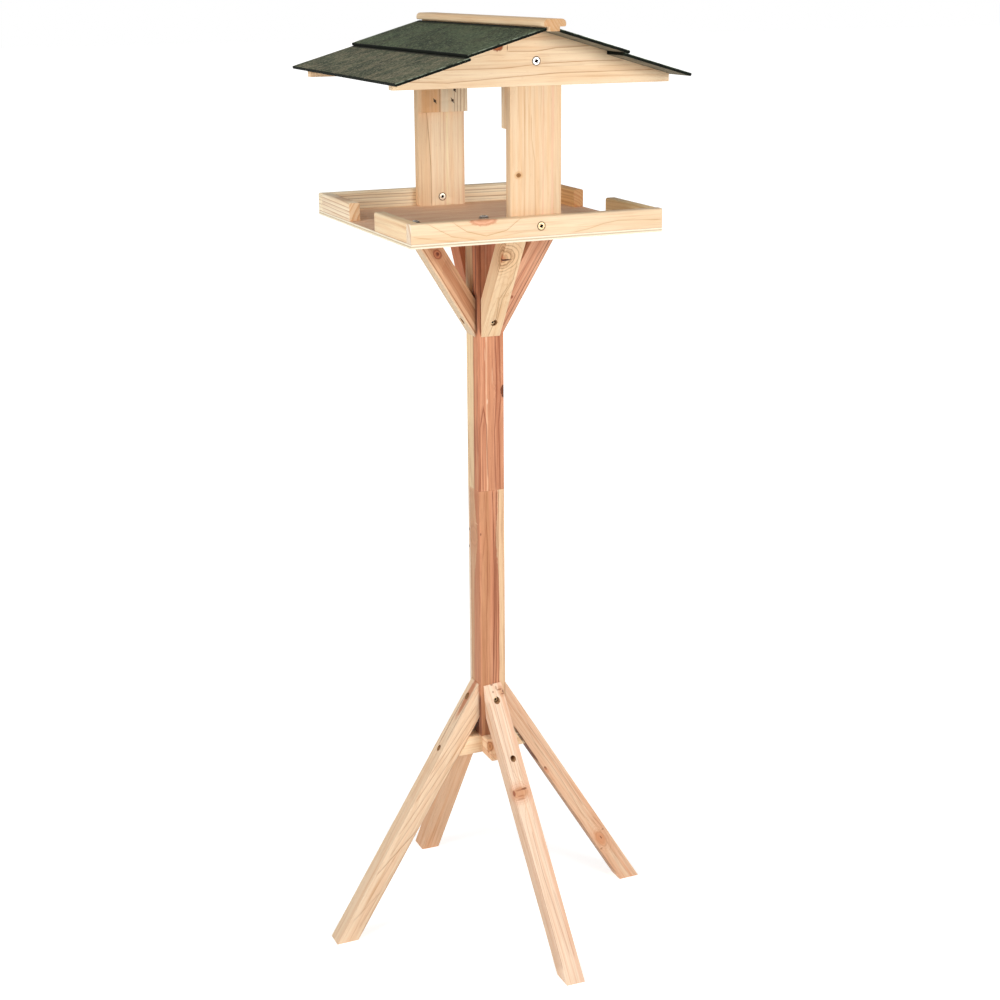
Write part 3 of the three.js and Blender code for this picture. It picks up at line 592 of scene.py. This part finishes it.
look_of("pole_lower", RED, pith=(-21.9, -32, 0), sap=(35.3, "F2CFA4"), wander=3, contrast=0.3, bulge=0.7,
    halo=0.25, knot="C98C66", heart="7E4228", fill=0.2, rim=0.08, outlines=0.06,
    knots=[((-17.5, 0, 105), 26, 30, "side")],
    # the second band, near the foot, is painted shade behind leg_front
    bands=[("across", -10, 7, "C48E64", 0.65), ("across", -7, 6, UMBER, 0.35, -175, -140)],
    veins=[
        ("7E4228", 0.85, 0.8, ((-168, -1.5), (-60, 1.5), (60, 3.5), (168, 1))),
        ("7E4228", 0.9, 0.9, ((-168, 3.5), (-60, 5), (40, 5.2), (168, 6.5))),
        ("8E4A30", 0.8, 0.7, ((-168, 7.5), (-60, 8.8), (60, 8), (168, 9.5))),
        ("9C5C3A", 0.6, 0.7, ((-168, -9), (0, -8), (90, -6), (168, -10))),
        ("9C5C3A", 0.5, 0.7, ((80, -13), (125, -7.5), (168, -7))),
        # painted shade: dark lines along the pole's side edges, darkest near the foot where the legs meet
        ("A86A48", 0.46, 0.9, ((-168, -17.5), (168, -17.5))),
        ("52241A", 0.9, 0.5, ((-168, -17.5), (-112, -17.5))),
        ("6E3C26", 0.7, 0.4, ((-168, 17.5), (-100, 17.5)))],
    spots=[
        ((-17.5, 15, -20), 7, 480, "FFEBD0", 0.8, 5.0, "side"),
        ((-17.5, 16, 110), 5, 5, "5A2E1E", 0.7, 6.0, "side"),
        ((-17.5, 16, 87), 5, 5, "5A2E1E", 0.6, 6.0, "side"), ((-15.5, -17.5, 112), 2.5, 4, "6E3C28", 0.7),
        ((-17.5, -8, 124), 12, 2, "E9BE98", 0.5, 6.0, "side")])
look_of("cross_bar_sideways", PINE, pith=(0, 30, -60),
    # painted shade: the near-black line is the shadow in the gap where leg_right crosses the bar
    veins=[("1E100A", 1.0, 2.3, ((30.5, -14), (46, 10.5)))])
look_of("cross_bar_lengthways", TAN, pith=(30, 0, 50), pale="FBDDB8", knot="D29A6C", heart="A0623E",
    knots=[((-13, -34, 3), 8, 9, "side")])
look_of("leg_right", TAN, pale="F8D6B4", streak="EDB890", pith=(10, -30, 25), halo=0.5, lean=(0.01, 0.03, 0),
    contrast=0.3, knot="E0A880", heart="A0603E", fill=0.3, rim=0.1, outlines=0.16,
    knots=[((44.6, -12.5, -98), 14, 30)],
    bands=[
        ("across", -22, 2, "E0A07A", 0.3), ("across", -9, 1.6, "E3A27A", 0.4),
        ("across", -3, 2.2, "E8AC86", 0.3)],
    veins=[
        # painted shade along the underside, darkest near the cross bar
        ("8A5A40", 0.6, 0.9, ((-170, -24.6), (80, -24.6))), (UMBER, 1.0, 1.1, ((62, -24.6), (130, -24.6))),
        ("B4704A", 0.6, 0.5, ((-128, -18), (-112, -9), (-90, -7.5), (-70, -9))),
        ("B4704A", 0.6, 0.5, ((-130, -10), (-112, -4), (-88, -3.5), (-66, -6))),
        ("B4704A", 0.5, 0.5, ((-60, -16), (20, -12), (90, -14))),
        ("B4704A", 0.5, 0.5, ((-40, -8), (40, -6), (120, -7)))],
    spots=[
        ((42, -12.5, -96), 14, 32, "D98A58", 0.6), ((-42.4, -12.5, 28), 3.5, 8, "7A3E28", 0.85),
        ((-41, -12.5, 24), 7, 12, "D98F68", 0.5), ((43.4, -12.5, -95), 2, 7, "8A4E34", 0.8),
        ((46, -12.5, -83), 4, 3, "A0603E", 0.6), ((44.6, -12.5, -113), 5, 3, "A0603E", 0.6)])
look_of("leg_back", TAN, pale="EBC29D")
look_of("leg_left", PINE, pale="F7DCBC", streak="F0C6A0", pith=(25, 10, 40), lean=(0, 0.03, 0), contrast=0.3,
    grainy=0.4,
    spots=[((93, -2, 152), 12, 84, "C07C58", 0.9, 4.0, "side")],
    bands=[("deep", 10, 1.2, "FBE6C0", 0.6)],
    veins=[
        ("A87248", 0.7, 0.55, ((-90, 2), (-13, 23.7))), ("A87248", 0.4, 0.5, ((-160, 4), (-110, 20))),
        ("B0784C", 0.6, 0.5, ((-30, 3), (150, 24))), ("B0784C", 0.5, 0.5, ((-60, 6), (90, 23.5))),
        ("B0784C", 0.6, 0.5, ((20, 1), (160, 17))), ("B0784C", 0.6, 0.5, ((60, 1), (168, 12))),
        ("B0784C", 0.5, 0.5, ((-150, 9), (-60, 13))), ("B0784C", 0.4, 0.5, ((-165, 17), (-80, 21))),
        # painted shade along the lower arris
        ("9C6A44", 0.7, 0.5, ((-172, 24.5), (130, 24.5))),
        ("6E3C26", 0.9, 0.5, ((100, 4.5), (172, 5)), "deep"),
        ("8A5236", 0.7, 0.4, ((110, -8.5), (172, -9)), "deep")])
look_of("leg_front", PINE, pale="FEE3C8", streak="F7CAA7", pith=(15, 30, 60), contrast=0.35, knot="E9B58E",
    heart="94522F", bulge=1.2, stain="E4A47C", fill=0.25, rim=0.15, outlines=0.2, grainy=0.38,
    knots=[((-7, 27, 43.4), 19, 15)],
    bands=[("across", 9, 3, "EFB08A", 0.35), ("across", 0, 1.2, "E8B48C", 0.4)],
    veins=[
        # painted shade: the first two lines darken the left arris
        ("C49A6C", 0.16, 0.9, ((-175, -12.5), (175, -12.5))),
        ("A0603E", 0.7, 0.4, ((-175, -11.4), (175, -11.4))),
        ("B4704A", 0.5, 0.5, ((-160, 2), (-60, -3), (0, -2))),
        ("B4704A", 0.5, 0.5, ((-165, 8), (-120, 7), (-80, 5))), ("B4704A", 0.4, 0.5, ((60, -6), (170, -4))),
        ("B4704A", 0.4, 0.5, ((70, 3), (170, 5)))],
    spots=[
        ((-6, 27, 43.5), 24, 17, "CF8E60", 0.6, 10.0), ((-15, 27.5, 44), 5, 9, "8A4830", 0.8),
        ((0, 29, 47.5), 9, 3.2, "7E4A2C", 0.85), ((-7, 28.5, 47), 13, 2.6, "A0603E", 0.6),
        ((-6, 25, 40), 11, 2.4, "B4704A", 0.6), ((-7, 23, 36.5), 15, 2.4, "B4704A", 0.5),
        ((-2, 97, 158), 11, 17, "CF956C", 0.6), ((-4, 98.5, 160.5), 9, 2.6, "94583A", 0.7),
        ((0, 95, 155.5), 8, 2.4, "94583A", 0.7), ((1, 97, 158), 4, 4, "6A3A24", 0.8),
        ((-13.3, 103, 167), 4, 3.6, "8A5236", 0.7), ((-13.2, 98, 158.6), 3.4, 3.4, "9C6444", 0.6),
        ((-8, 100, 163), 3, 6, "B07A58", 0.6)])
look_of("brace_right", RED, pale="EDBA97", streak="E0A07C",
    spots=[((-29, -12.5, -23), 4, 5, "8E4A30", 0.8)],
    veins=[
        ("7E3E2C", 0.95, 0.6, ((-90, -4.6), (90, -4.2))), ("96523A", 0.6, 0.5, ((-90, -9), (90, -8))),
        ("96523A", 0.5, 0.5, ((-90, -17), (90, -14))), ("7E3E2C", 0.6, 0.5, ((-90, 0.2), (90, 0.2)))])
look_of("brace_back", RED, pale="D9946F", line="8A4A32")
look_of("brace_left", TAN, pale="DBB087", streak="C08A64", line="985C3A", contrast=0.6, grainy=0.4,
    fibres=0.25, knot="B87450", heart="7A3A26", knots=[((-6.2, -12.5, 36.5), 10, 12)],
    spots=[((-5.8, -12.5, 37), 4, 5, "5A2618", 0.85)],
    bands=[
        ("across", -1.5, 3.2, "FBE3BF", 0.9), ("across", 13, 3.5, "AE6F48", 0.6),
        ("across", 5, 2, "F0C6A0", 0.4)],
    veins=[("9C5C3A", 0.8, 0.6, ((-80, 2.6), (80, 2.6))), ("9C5C3A", 0.5, 0.6, ((-80, 17), (80, 19)))])
look_of("brace_front", PINE, pale="F7DAB2", bulge=0.9, contrast=0.6, ring=3.4, knot="E4B889", heart="94603A",
    outlines=0.75, fill=0.6, rim=0.3, grainy=0.4, knots=[((-11, -22.5, 38.5), 24, 26)],
    spots=[((-15, -22, 38), 18, 14, "C4683C", 0.7), ((-9, -22.3, 36), 19, 3.2, "3E160C", 1.0)],
    swells=[((4, -18, 8), 14, 60, 5)],
    veins=[
        ("9C6A40", 0.6, 0.5, ((-80, -4), (-50, 1), (-20, -2), (4, 6))),
        ("9C6A40", 0.6, 0.5, ((-55, 3), (-20, 2), (10, 9), (40, 8)))])
look_of("rim_front", PINE, pith=(0, 26, -16), ring=6, contrast=0.3, bulge=0.4, halo=0.25, knot="E9B08C",
    heart="D08C66", knots=[((-70, -7, 12.5), 15, 34)],
    veins=[
        ("C8955C", 0.7, 0.5, ((-107, -10), (-90, 1), (-67, 6.8), (-42, 2), (-25, -10))),
        ("C8955C", 0.6, 0.5, ((-137, -10), (-109, 5), (-80, 10.5))),
        ("C8955C", 0.5, 0.5, ((-155, 3), (-125, 8.5), (-100, 11))),
        ("C8955C", 0.3, 0.5, ((-50, 9), (-20, 5), (10, 5))),
        ("C8955C", 0.55, 0.6, ((42, 9.5), (61, 6.9), (80, 2), (99, -0.5), (155, 2)))])
look_of("rim_back", PINE, pith=(0, 20, -70), ring=4.6, contrast=0.2, wander=3, pale="FFF2D4",
    streak="FDE2BA", fibres=0.04, grainy=0.15,
    veins=[
        (DARK, 0.45, 0.5, ((-160, -8.5), (160, -9.2))),
        (DARK, 0.7, 0.55, ((-160, -6.4), (0, -5.2), (160, -3.8))),
        (DARK, 0.6, 0.55, ((-160, -2.6), (160, -0.5))), (DARK, 0.7, 0.55, ((-160, 2.4), (160, 5))),
        (DARK, 0.4, 0.5, ((-160, 6.6), (160, 8.4)))])
look_of("rim_left_front", PINE, contrast=0.25, pith=(30, 0, -20), pale="FCE3BC")
look_of("rim_left_back", PINE, pith=(60, 0, -35), ring=5, contrast=0.4, wander=2, pale="FFEFD2",
    streak="F8D8AE", fibres=0.08,
    veins=[
        (BROWN, 0.6, 0.5, ((-60, 9.6), (60, 12.8))), (BROWN, 0.8, 0.6, ((-60, 5), (60, 6.8))),
        (BROWN, 0.8, 0.6, ((-60, 0.4), (60, 2.6))), (BROWN, 0.8, 0.6, ((-60, -4), (60, -1.6))),
        (BROWN, 0.7, 0.6, ((-60, -8.6), (60, -6.4)))])
look_of("rim_right_front", TAN, pith=(20, 0, -50), contrast=0.8, pale="FCE2B0", streak="E8C088",
    line="A87440")
look_of("rim_right_back", TAN, pale="EEC084", streak="DCA368", pith=(-30, 0, -40), contrast=0.9)
look_of("post_front", PINE, pale="EFD1AC", pith=(60, 25, 0), ring=8, contrast=0.25, wander=4,
    late=(0.3, 0.95), bulge=1.2, halo=0.9, knot="A8743F", heart="4A2A1A", stain="D9A673",
    knots=[((-21.5, -6, -15.1), 5.6, 4.4)],
    bands=[
        ("across", 9, 1.3, "EBBA98", 0.45), ("across", 21, 1.6, "EBB496", 0.4),
        ("across", -14, 0.9, "E0B080", 0.35)],
    veins=[
        ("C68E5C", 0.5, 0.5, ((-70, -0.4), (0, -1.2), (24, -5), (50, -5.6))),
        ("C9935F", 0.5, 0.5, ((-80, -14.5), (80, -13.5)))])
look_of("post_back", PINE, pale="FFE8C6", streak="F6D2A6", pith=(50, 20, 0), ring=7, contrast=0.3, wander=4,
    bands=[
        ("across", -27, 9, "EBC598", 0.6), ("across", 3.5, 1.2, "E0B488", 0.5),
        ("across", 7.4, 1.2, "FFEFC4", 0.6), ("across", 31, 3, "EEC09A", 0.5),
        ("across", 23, 1.5, "EAC49C", 0.4)],
    veins=[("A97A4E", 0.8, 0.5, ((-82, -15), (-32, -15), (8, -17.2), (36, -19.6), (75, -21)))])
look_of("cleat_front", PINE, pith=(50, 20, 0), ring=6)
look_of("cleat_back", TAN, pith=(70, 20, 0), ring=7, contrast=0.2, pale="FFECCC", streak="FBDAB0",
    fibres=0.05, grainy=0.2,
    bands=[
        ("across", -20, 15, "F2BE88", 0.85), ("across", -7, 1.5, "C48F60", 0.6),
        ("across", 14, 0.8, "B98A5E", 0.6), ("across", 18, 0.8, "B98A5E", 0.6),
        ("across", 22.5, 0.9, "B98A5E", 0.6), ("across", 27, 0.8, "B98A5E", 0.5)])
look_of("gable_front", PINE, pale="FAE0BC", pith=(40, 10, -90), ring=9, late=(0.7, 0.97), contrast=0.18,
    wander=7, streaks=0.35, knot="B4683C", heart="8A4528", halo=0.3, knots=[((-46.5, -6, 16), 14, 16)],
    veins=[
        (BROWN, 0.8, 0.5, ((-158, 21), (-105, 24), (-38, 20), (30, 16.6), (150, 16))),
        (BROWN, 0.5, 0.4, ((-135, 18), (-112, 19.5))),
        (BROWN, 0.75, 0.5, ((-112, 10.3), (-40, 10), (10, 6), (60, 4.6), (110, 5))),
        (BROWN, 0.4, 0.4, ((-5, 9.5), (60, 8.5))),
        (BROWN, 0.8, 0.5, ((-34, -8), (0, -7.4), (25, -10.7), (68, -12.5))),
        (BROWN, 0.4, 0.6, ((-6, -22), (26, -24))), (BROWN, 0.35, 0.5, ((-75, -2), (-56, -5), (-38, -4)))],
    spots=[((-34, -6, 12), 8, 1.1, "7A4B2A", 0.9)])
look_of("gable_back", PINE, pith=(0, 10, -80), ring=9)
look_of("ridge_bar", PINE, pith=(24, 0, 22), ring=3.4, contrast=0.75, pale="F6DBB4", grainy=0.4)

# the tone of some cut ends, and how strong it is
END_TONES = {"ridge_bar": ("C99C6E", 0.75), "rim_left_back": ("E9C296", 0.78),
             "rim_right_back": ("B98A5C", 0.65), "rim_front": ("FFF2DC", 0.85)}
for node, (tone, strength) in END_TONES.items():
    low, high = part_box(node)
    LOOKS[node]["end"] = (max(high - low) / 2 / MM, tone, strength)

# the dark slanting marks round the cleats' nail heads: width, height, tone, strength, depth, side and tilt
NAIL_MARK = (1.9, 9, "2A1A10", 0.95, SPOT_DEPTH, "face", -32)
for end, surface in (("front", 6), ("back", -6)):
    for nail in (1, 2, 3):
        dent = (middle_of(f"cleat_nail_{end}_{nail}") - middle_of("cleat_" + end)) / MM
        LOOKS["cleat_" + end].setdefault("spots", []).append(((dent.x, surface, dent.z), *NAIL_MARK))

FACING = {"leg_front": -Y, "ridge_bar": -X, "rim_left": -X, "rim_right": -X, "cross_bar_lengthways": -X}
GRAIN = {"pole": Z, "post": Z, "cleat": Z, "gable": X, "ridge_bar": Y, "rim_front": X, "rim_back": X,
         "rim": Y, "cross_bar_sideways": X, "cross_bar_lengthways": Y}
FLUSH_HEADS = {"rim_front": "rim_screw_front", "post_back": "rim_screw_back",
               "gable_front": "gable_screw_front", "gable_back": "gable_screw_back"}
HOLE_ROOM = 0.9 * MM               # how far a hole's wall may lie outside its screw's head
HOLE_REACH = 1.1                   # how deep a hole may go, for its screw's length
HEAD_ONLY = 0.8                    # only a head is wider than this share of a screw's greatest radius


def facing_of(node):
    return next((way for start, way in FACING.items() if node.startswith(start)), -Y)


def grain_of(node, piece):
    """The way a piece's fibres run: for legs and braces, along its longest edge and upwards."""
    if not node.startswith(("leg", "brace")):
        return GRAIN.get(node) or GRAIN[node.split("_")[0]]
    points = piece.data.vertices
    edges = [points[edge.vertices[0]].co - points[edge.vertices[1]].co for edge in piece.data.edges]
    way = max(edges, key=lambda edge: edge.length).normalized()
    return way if way.z > 0 else -way


def screw_axis(node):
    """A screw node's head centre, the way its head faces, its head's radius and its length."""
    low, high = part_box(node)
    size, centre = high - low, (low + high) / 2
    along = max(range(3), key=lambda i: size[i])
    others = [i for i in range(3) if i != along]
    radius = max(size[i] for i in others) / 2
    wide = [v.co[along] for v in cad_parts[node].data.vertices
            if sum((v.co[i] - centre[i]) ** 2 for i in others) > (HEAD_ONLY * radius) ** 2]
    facing = 1 if sum(wide) / len(wide) > centre[along] else -1
    centre[along] = high[along] if facing > 0 else low[along]
    way = Vector((0, 0, 0))
    way[along] = facing
    return centre, way, radius, size[along]


SCREWS = {node: screw_axis(node) for node in sorted(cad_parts)
          if ("screw" in node or "nail" in node) and node != "pole_joint_screw"}


def in_a_hole(piece, face):
    """Whether a face is the wall or the seat of a screw's hole."""
    for centre, way, radius, length in SCREWS.values():
        offs = [piece.data.vertices[i].co - centre for i in face.vertices]
        if all(off.cross(way).length < radius + HOLE_ROOM and off.dot(way) > -HOLE_REACH * length
               for off in offs):
            return True
    return False


# painted shade: the walls and seats of screw holes get a darker brown
hole_shade_finish = mottled("hole_wall_painted_shade", ("93653F", "CDA47A"), (0.3, 0.7, 1), ((1.2, 1.2, 0.2), 3.0, 0.6),
                      (0.8, 0.1), 0.0003, 0.15)
for node, look in LOOKS.items():
    piece = clean_copy(node, node + "_timber")
    heads = [SCREWS[FLUSH_HEADS[node]][:3]] if node in FLUSH_HEADS else []
    give_finishes(piece, wood(node + "_grain", middle_of(node), grain_of(node, piece), facing_of(node), look,
                              heads), hole_shade_finish)
    for face in piece.data.polygons:
        face.material_index = int(in_a_hole(piece, face))
    eased(piece, TIMBER_EASE, 2)
    fit(piece, node)

# the tray: one sheet with brown faces and layered edges
tray = clean_copy("tray_base", "tray_sheet")
low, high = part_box("tray_base")
tray_heads = [SCREWS[node][:3] for node in SCREWS if node.startswith(("pole_top", "brace_top"))]
give_finishes(tray, plywood("tray_veneer", middle_of("tray_base"), (0.012, 0.1, 0.1),
                            ("FFDCBC", "F0C09C", "E2B08C", "B4866A"), tray_heads),
              ply_edges("tray_layers", low.z, high.z - low.z))
eased(tray, SHEET_EASE, 1)
for face in tray.data.polygons:
    face.material_index = 0 if abs(face.normal.z) > 0.5 else 1
fit(tray, "tray_base")

# the roof's felt-covered boards
FELT_DARK = ("28331F", "4C5940", "64664A", "8C9476", "11160C")
FELT_WORN = ("3A4430", "5C634B", "867F66", "B0A78E", "1A1F14")
ON_TOP, ON_EDGE, BELOW, ON_ARRIS = range(4)
edge_finish = mottled("felt_edge", ("060805", "161C13"), (0.4, 0.7, 1), ((0.35,) * 3, 3.0, 0.6), (0.7, 0.25),
                      0.0004, 0.1)
# painted highlight: pale grey-green on the boards' up-facing front arrises
arris_highlight_finish = mottled("felt_arris_painted_highlight", ("2C3428", "8E9884"), (0.35, 0.6, 1), ((0.12,) * 3, 3.0, 0.65),
                       (0.7, 0.2))
back_finish = board_back("roof_board_back")
ridge_low, ridge_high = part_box("ridge_bar")
ridge_middle, ridge_half = (ridge_high.x + ridge_low.x) / 2 / MM, (ridge_high.x - ridge_low.x) / 2 / MM
upper_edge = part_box("roof_upper_right")[1].x / MM
# the upper felt gets its painted shade line under the ridge bar, the lower felt under the upper boards
felts = {"upper": felt("felt_upper", FELT_DARK, 0.35, ridge_middle, ridge_half),
         "lower": felt("felt_lower", FELT_WORN, 0.85, 0.0, upper_edge)}
for level in ("upper", "lower"):
    for side in ("right", "left"):
        node = f"roof_{level}_{side}"
        panel = clean_copy(node, node + "_panel")
        give_finishes(panel, felts[level], edge_finish, back_finish, arris_highlight_finish)
        eased(panel, PANEL_EASE, 1)
        for face in panel.data.polygons:
            up = face.normal.z
            # worn here marks the front arrises that take the painted highlight
            worn = abs(face.normal.y) > 0.5 and 0.3 < up < 0.9
            face.material_index = (ON_ARRIS if worn else ON_TOP if up > 0.9 else
                                   BELOW if up < -0.9 else ON_EDGE)
        fit(panel, node)


# ---------------- screws and nails

POINT_LENGTH, POINT_SHARE = 5.0, 0.12   # a screw's point, and how thick its tip is for its shank
FLUSH_RIM = 0.9                         # the straight rim of a countersunk head
CROWN = 1.6                             # the most that a head's top edge is rounded
RECESS_DEPTH, RECESS_TURN = 3.4, 0.4
METAL, RECESS, RIM = range(3)
zinc_finish = zinc("zinc_plate", "E6E4E0", "B9B7B2")
gold_finish = zinc("passivated_plate", "E2C69C", "B99768")
cream_finish = zinc("pale_plate", "F8EBD8", "D6C4AA")
# painted shade: dark grey on the sides of screw heads, lighter for those on the tray
head_edge_shade_finish = plain("head_edge_painted_shade", "6A625A")
tray_head_edge_shade_finish = plain("tray_head_edge_painted_shade", "8E867E")
# painted shade: near black inside each screw's cross recess
recess_shade_finish = plain("drive_recess_painted_shade", "0E0C0A", 0.75)
nail_finish = plain("nail_head", "5A4636")


def select_faces(piece, test):
    """Selects the faces that pass a test, ready for edit mode."""
    bpy.ops.object.mode_set(mode="OBJECT")
    for part in (piece.data.vertices, piece.data.edges, piece.data.polygons):
        part.foreach_set("select", [False] * len(part))
    for face in piece.data.polygons:
        face.select = test(face)
    bpy.ops.object.mode_set(mode="EDIT")
    bpy.ops.mesh.select_mode(type="FACE")


def pull_down(depth):
    bpy.ops.mesh.extrude_region_move(TRANSFORM_OT_translate={"value": (0, 0, -depth * MM)})


def narrow(share):
    bpy.ops.transform.resize(value=(share, share, 1))


def cut_recess(piece, head_radius, head_height, width):
    """Cuts a cross recess whose arms get narrower and shorter as they go down."""
    for turn in (0, pi / 2):
        bpy.ops.mesh.primitive_cube_add(size=1)
        arm = bpy.context.object
        arm.data.transform(Matrix.Diagonal((head_radius * 1.2 * MM, head_radius * width * MM,
                                            RECESS_DEPTH * MM, 1)))
        for corner in arm.data.vertices:
            if corner.co.z < 0:
                corner.co.x *= 0.6
                corner.co.y *= 0.75
        arm.data.transform(Matrix.Rotation(turn + RECESS_TURN, 4, "Z"))
        arm.data.transform(Matrix.Translation((0, 0, -head_height * 0.12 * MM)))
        give_finishes(arm, zinc_finish, recess_shade_finish, head_edge_shade_finish)
        for face in arm.data.polygons:
            face.material_index = RECESS
        add_modifier(piece, "BOOLEAN", object=arm, operation="DIFFERENCE", solver="EXACT",
                     material_mode="INDEX")
        bpy.data.objects.remove(arm)


def screw(name, head_radius, head_height, shank_radius, length, flush, recess):
    """One screw with its head's top at the origin and its point below; recess is its drive's width, or 0."""
    rim = FLUSH_RIM if flush else head_height
    bpy.ops.mesh.primitive_cylinder_add(vertices=32, radius=head_radius * MM, depth=rim * MM,
                                        location=(0, 0, -rim / 2 * MM))
    piece = bpy.context.object
    piece.name = name
    give_finishes(piece, zinc_finish, recess_shade_finish, head_edge_shade_finish)
    bpy.ops.object.transform_apply(location=True, rotation=True, scale=True)
    select_faces(piece, lambda face: face.normal.z < -0.9)
    if flush:
        pull_down(head_height - rim)
        narrow(shank_radius / head_radius)
    else:
        bpy.ops.mesh.inset(thickness=(head_radius - shank_radius) * MM)
    pull_down(length - head_height - POINT_LENGTH)
    pull_down(POINT_LENGTH)
    narrow(POINT_SHARE)
    select_faces(piece, lambda face: face.normal.z > 0.9)
    bpy.ops.mesh.bevel(offset=min(rim * 0.75, CROWN) * MM, segments=4)
    bpy.ops.object.mode_set(mode="OBJECT")
    if recess:
        cut_recess(piece, head_radius, head_height, recess)
    # the sides of the head take the painted shade finish
    for face in piece.data.polygons:
        if face.material_index == METAL and face.normal.z < 0.75:
            face.material_index = RIM
    activate(piece)
    bpy.ops.object.shade_smooth_by_angle(angle=radians(40))
    return piece


# each kind's style, and the height of its head and the radius of its shank in millimetres
KINDS = {
    "pole_top_screw": ("pan", 3.0, 2.5), "brace_top_screw": ("pan", 2.6, 2.0),
    "leg_top_screw": ("pan", 2.3, 2.0), "leg_cross_screw": ("pan", 2.1, 1.75),
    "brace_foot_screw": ("pan", 2.2, 1.75), "rim_screw": ("flush", 2.8, 2.0),
    "gable_screw": ("flush", 2.8, 2.0), "cross_screw": ("flush", 3.0, 2.5), "cleat_nail": ("nail", 0.5, 0.9),
}
RECESSES = {"pan": 0.42, "flush": 0.5, "nail": 0}
patterns = {}
for node, (centre, way, radius, length) in SCREWS.items():
    kind = next(k for k in KINDS if node.startswith(k))
    style, head_height, shank_radius = KINDS[kind]
    pattern = (kind, round(length / MM, 1))
    if pattern not in patterns:
        patterns[pattern] = screw(kind + "_pattern", radius / MM, head_height, shank_radius, length / MM,
                                  style == "flush", RECESSES[style])
    piece = link_new(node + "_steel", patterns[pattern].data.copy())
    turn = Z.rotation_difference(way).to_matrix().to_4x4()
    piece.data.transform(Matrix.Translation(centre) @ turn)
    if style == "nail":
        piece.data.materials.clear()
        give_finishes(piece, nail_finish)
    elif node.startswith(("leg_", "brace_foot_", "rim_screw_front")):
        piece.data.materials[METAL] = gold_finish
    elif node == "rim_screw_back":
        piece.data.materials[METAL] = cream_finish
    elif node.startswith(("pole_top", "brace_top")):
        piece.data.materials[RIM] = tray_head_edge_shade_finish
    fit(piece, node)
for finished in patterns.values():
    bpy.data.objects.remove(finished)
hidden_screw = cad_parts["pole_joint_screw"]
hidden_screw.data.materials.clear()
give_finishes(hidden_screw, zinc_finish)


# ---------------- floor, light and camera

WHITE = (1, 1, 1, 1)
FLOOR_SIZE, FLOOR_LEVEL = 60, -0.0004
LAMP_TARGET = Vector((0, 0, 0.8))


def white_floor():
    """A floor that looks white from the camera and takes faint shadows near the table."""
    bench = material_bench("studio_white")
    matt = bench.node("BsdfDiffuse", {}, {"Color": (0.9, 0.9, 0.9, 1)})
    far = bench.length(bench.node("TexCoord", output="Object")).rise(0.6, 2.0)
    glow = bench.node("Emission", {}, {"Color": WHITE, "Strength": bench.seen() * (0.6 + far * 0.4)})
    bench.node("OutputMaterial", {}, {"Surface": bench.node("AddShader", {}, {0: matt, 1: glow})})
    return bench.owner


def lamp(name, place, size, watts):
    """A soft square lamp at place that faces the table."""
    light = bpy.data.lights.new(name, "AREA")
    light.shape, light.size, light.energy = "SQUARE", size, watts
    holder = link_new(name, light)
    holder.location = place
    holder.rotation_euler = (Vector(place) - LAMP_TARGET).to_track_quat("Z", "Y").to_euler()


bpy.ops.mesh.primitive_plane_add(size=FLOOR_SIZE, location=(0, 0, FLOOR_LEVEL))
floor = bpy.context.object
floor.name = "studio_floor"
give_finishes(floor, white_floor())

# a white room that lights the table only a little
world = bpy.data.worlds.new("studio")
bpy.context.scene.world = world
room = Bench(world)
brightness = room.node("MapRange", {}, {"Value": room.seen(), "To Min": 0.25})
backdrop = room.node("Background", {}, {"Color": WHITE, "Strength": brightness})
room.node("OutputWorld", {}, {"Surface": backdrop})

lamp("key_lamp", (1.1, -3.0, 1.4), 1.2, 62)
lamp("high_fill_lamp", (-2.6, -0.9, 2.4), 2.0, 36)
lamp("low_fill_lamp", (-2.9, -0.9, 1.1), 1.6, 27)

bpy.context.scene.view_settings.view_transform = "Standard"

EYE = Vector((-0.8341, -1.9491, 1.2312))
YAW, PITCH, ROLL = radians(23.646), radians(-16.989), radians(-0.349)
forward = Vector((sin(YAW) * cos(PITCH), cos(YAW) * cos(PITCH), sin(PITCH)))
level_right = Vector((cos(YAW), -sin(YAW), 0))
level_up = level_right.cross(forward)
right = level_right * cos(ROLL) + level_up * sin(ROLL)
up = level_up * cos(ROLL) - level_right * sin(ROLL)
camera_data = bpy.data.cameras.new("camera")
camera_data.sensor_width, camera_data.lens = 36.0, 62.245
camera = link_new("camera", camera_data)
camera.matrix_world = Matrix.Translation(EYE) @ Matrix((right, up, -forward)).transposed().to_4x4()
bpy.context.scene.camera = camera
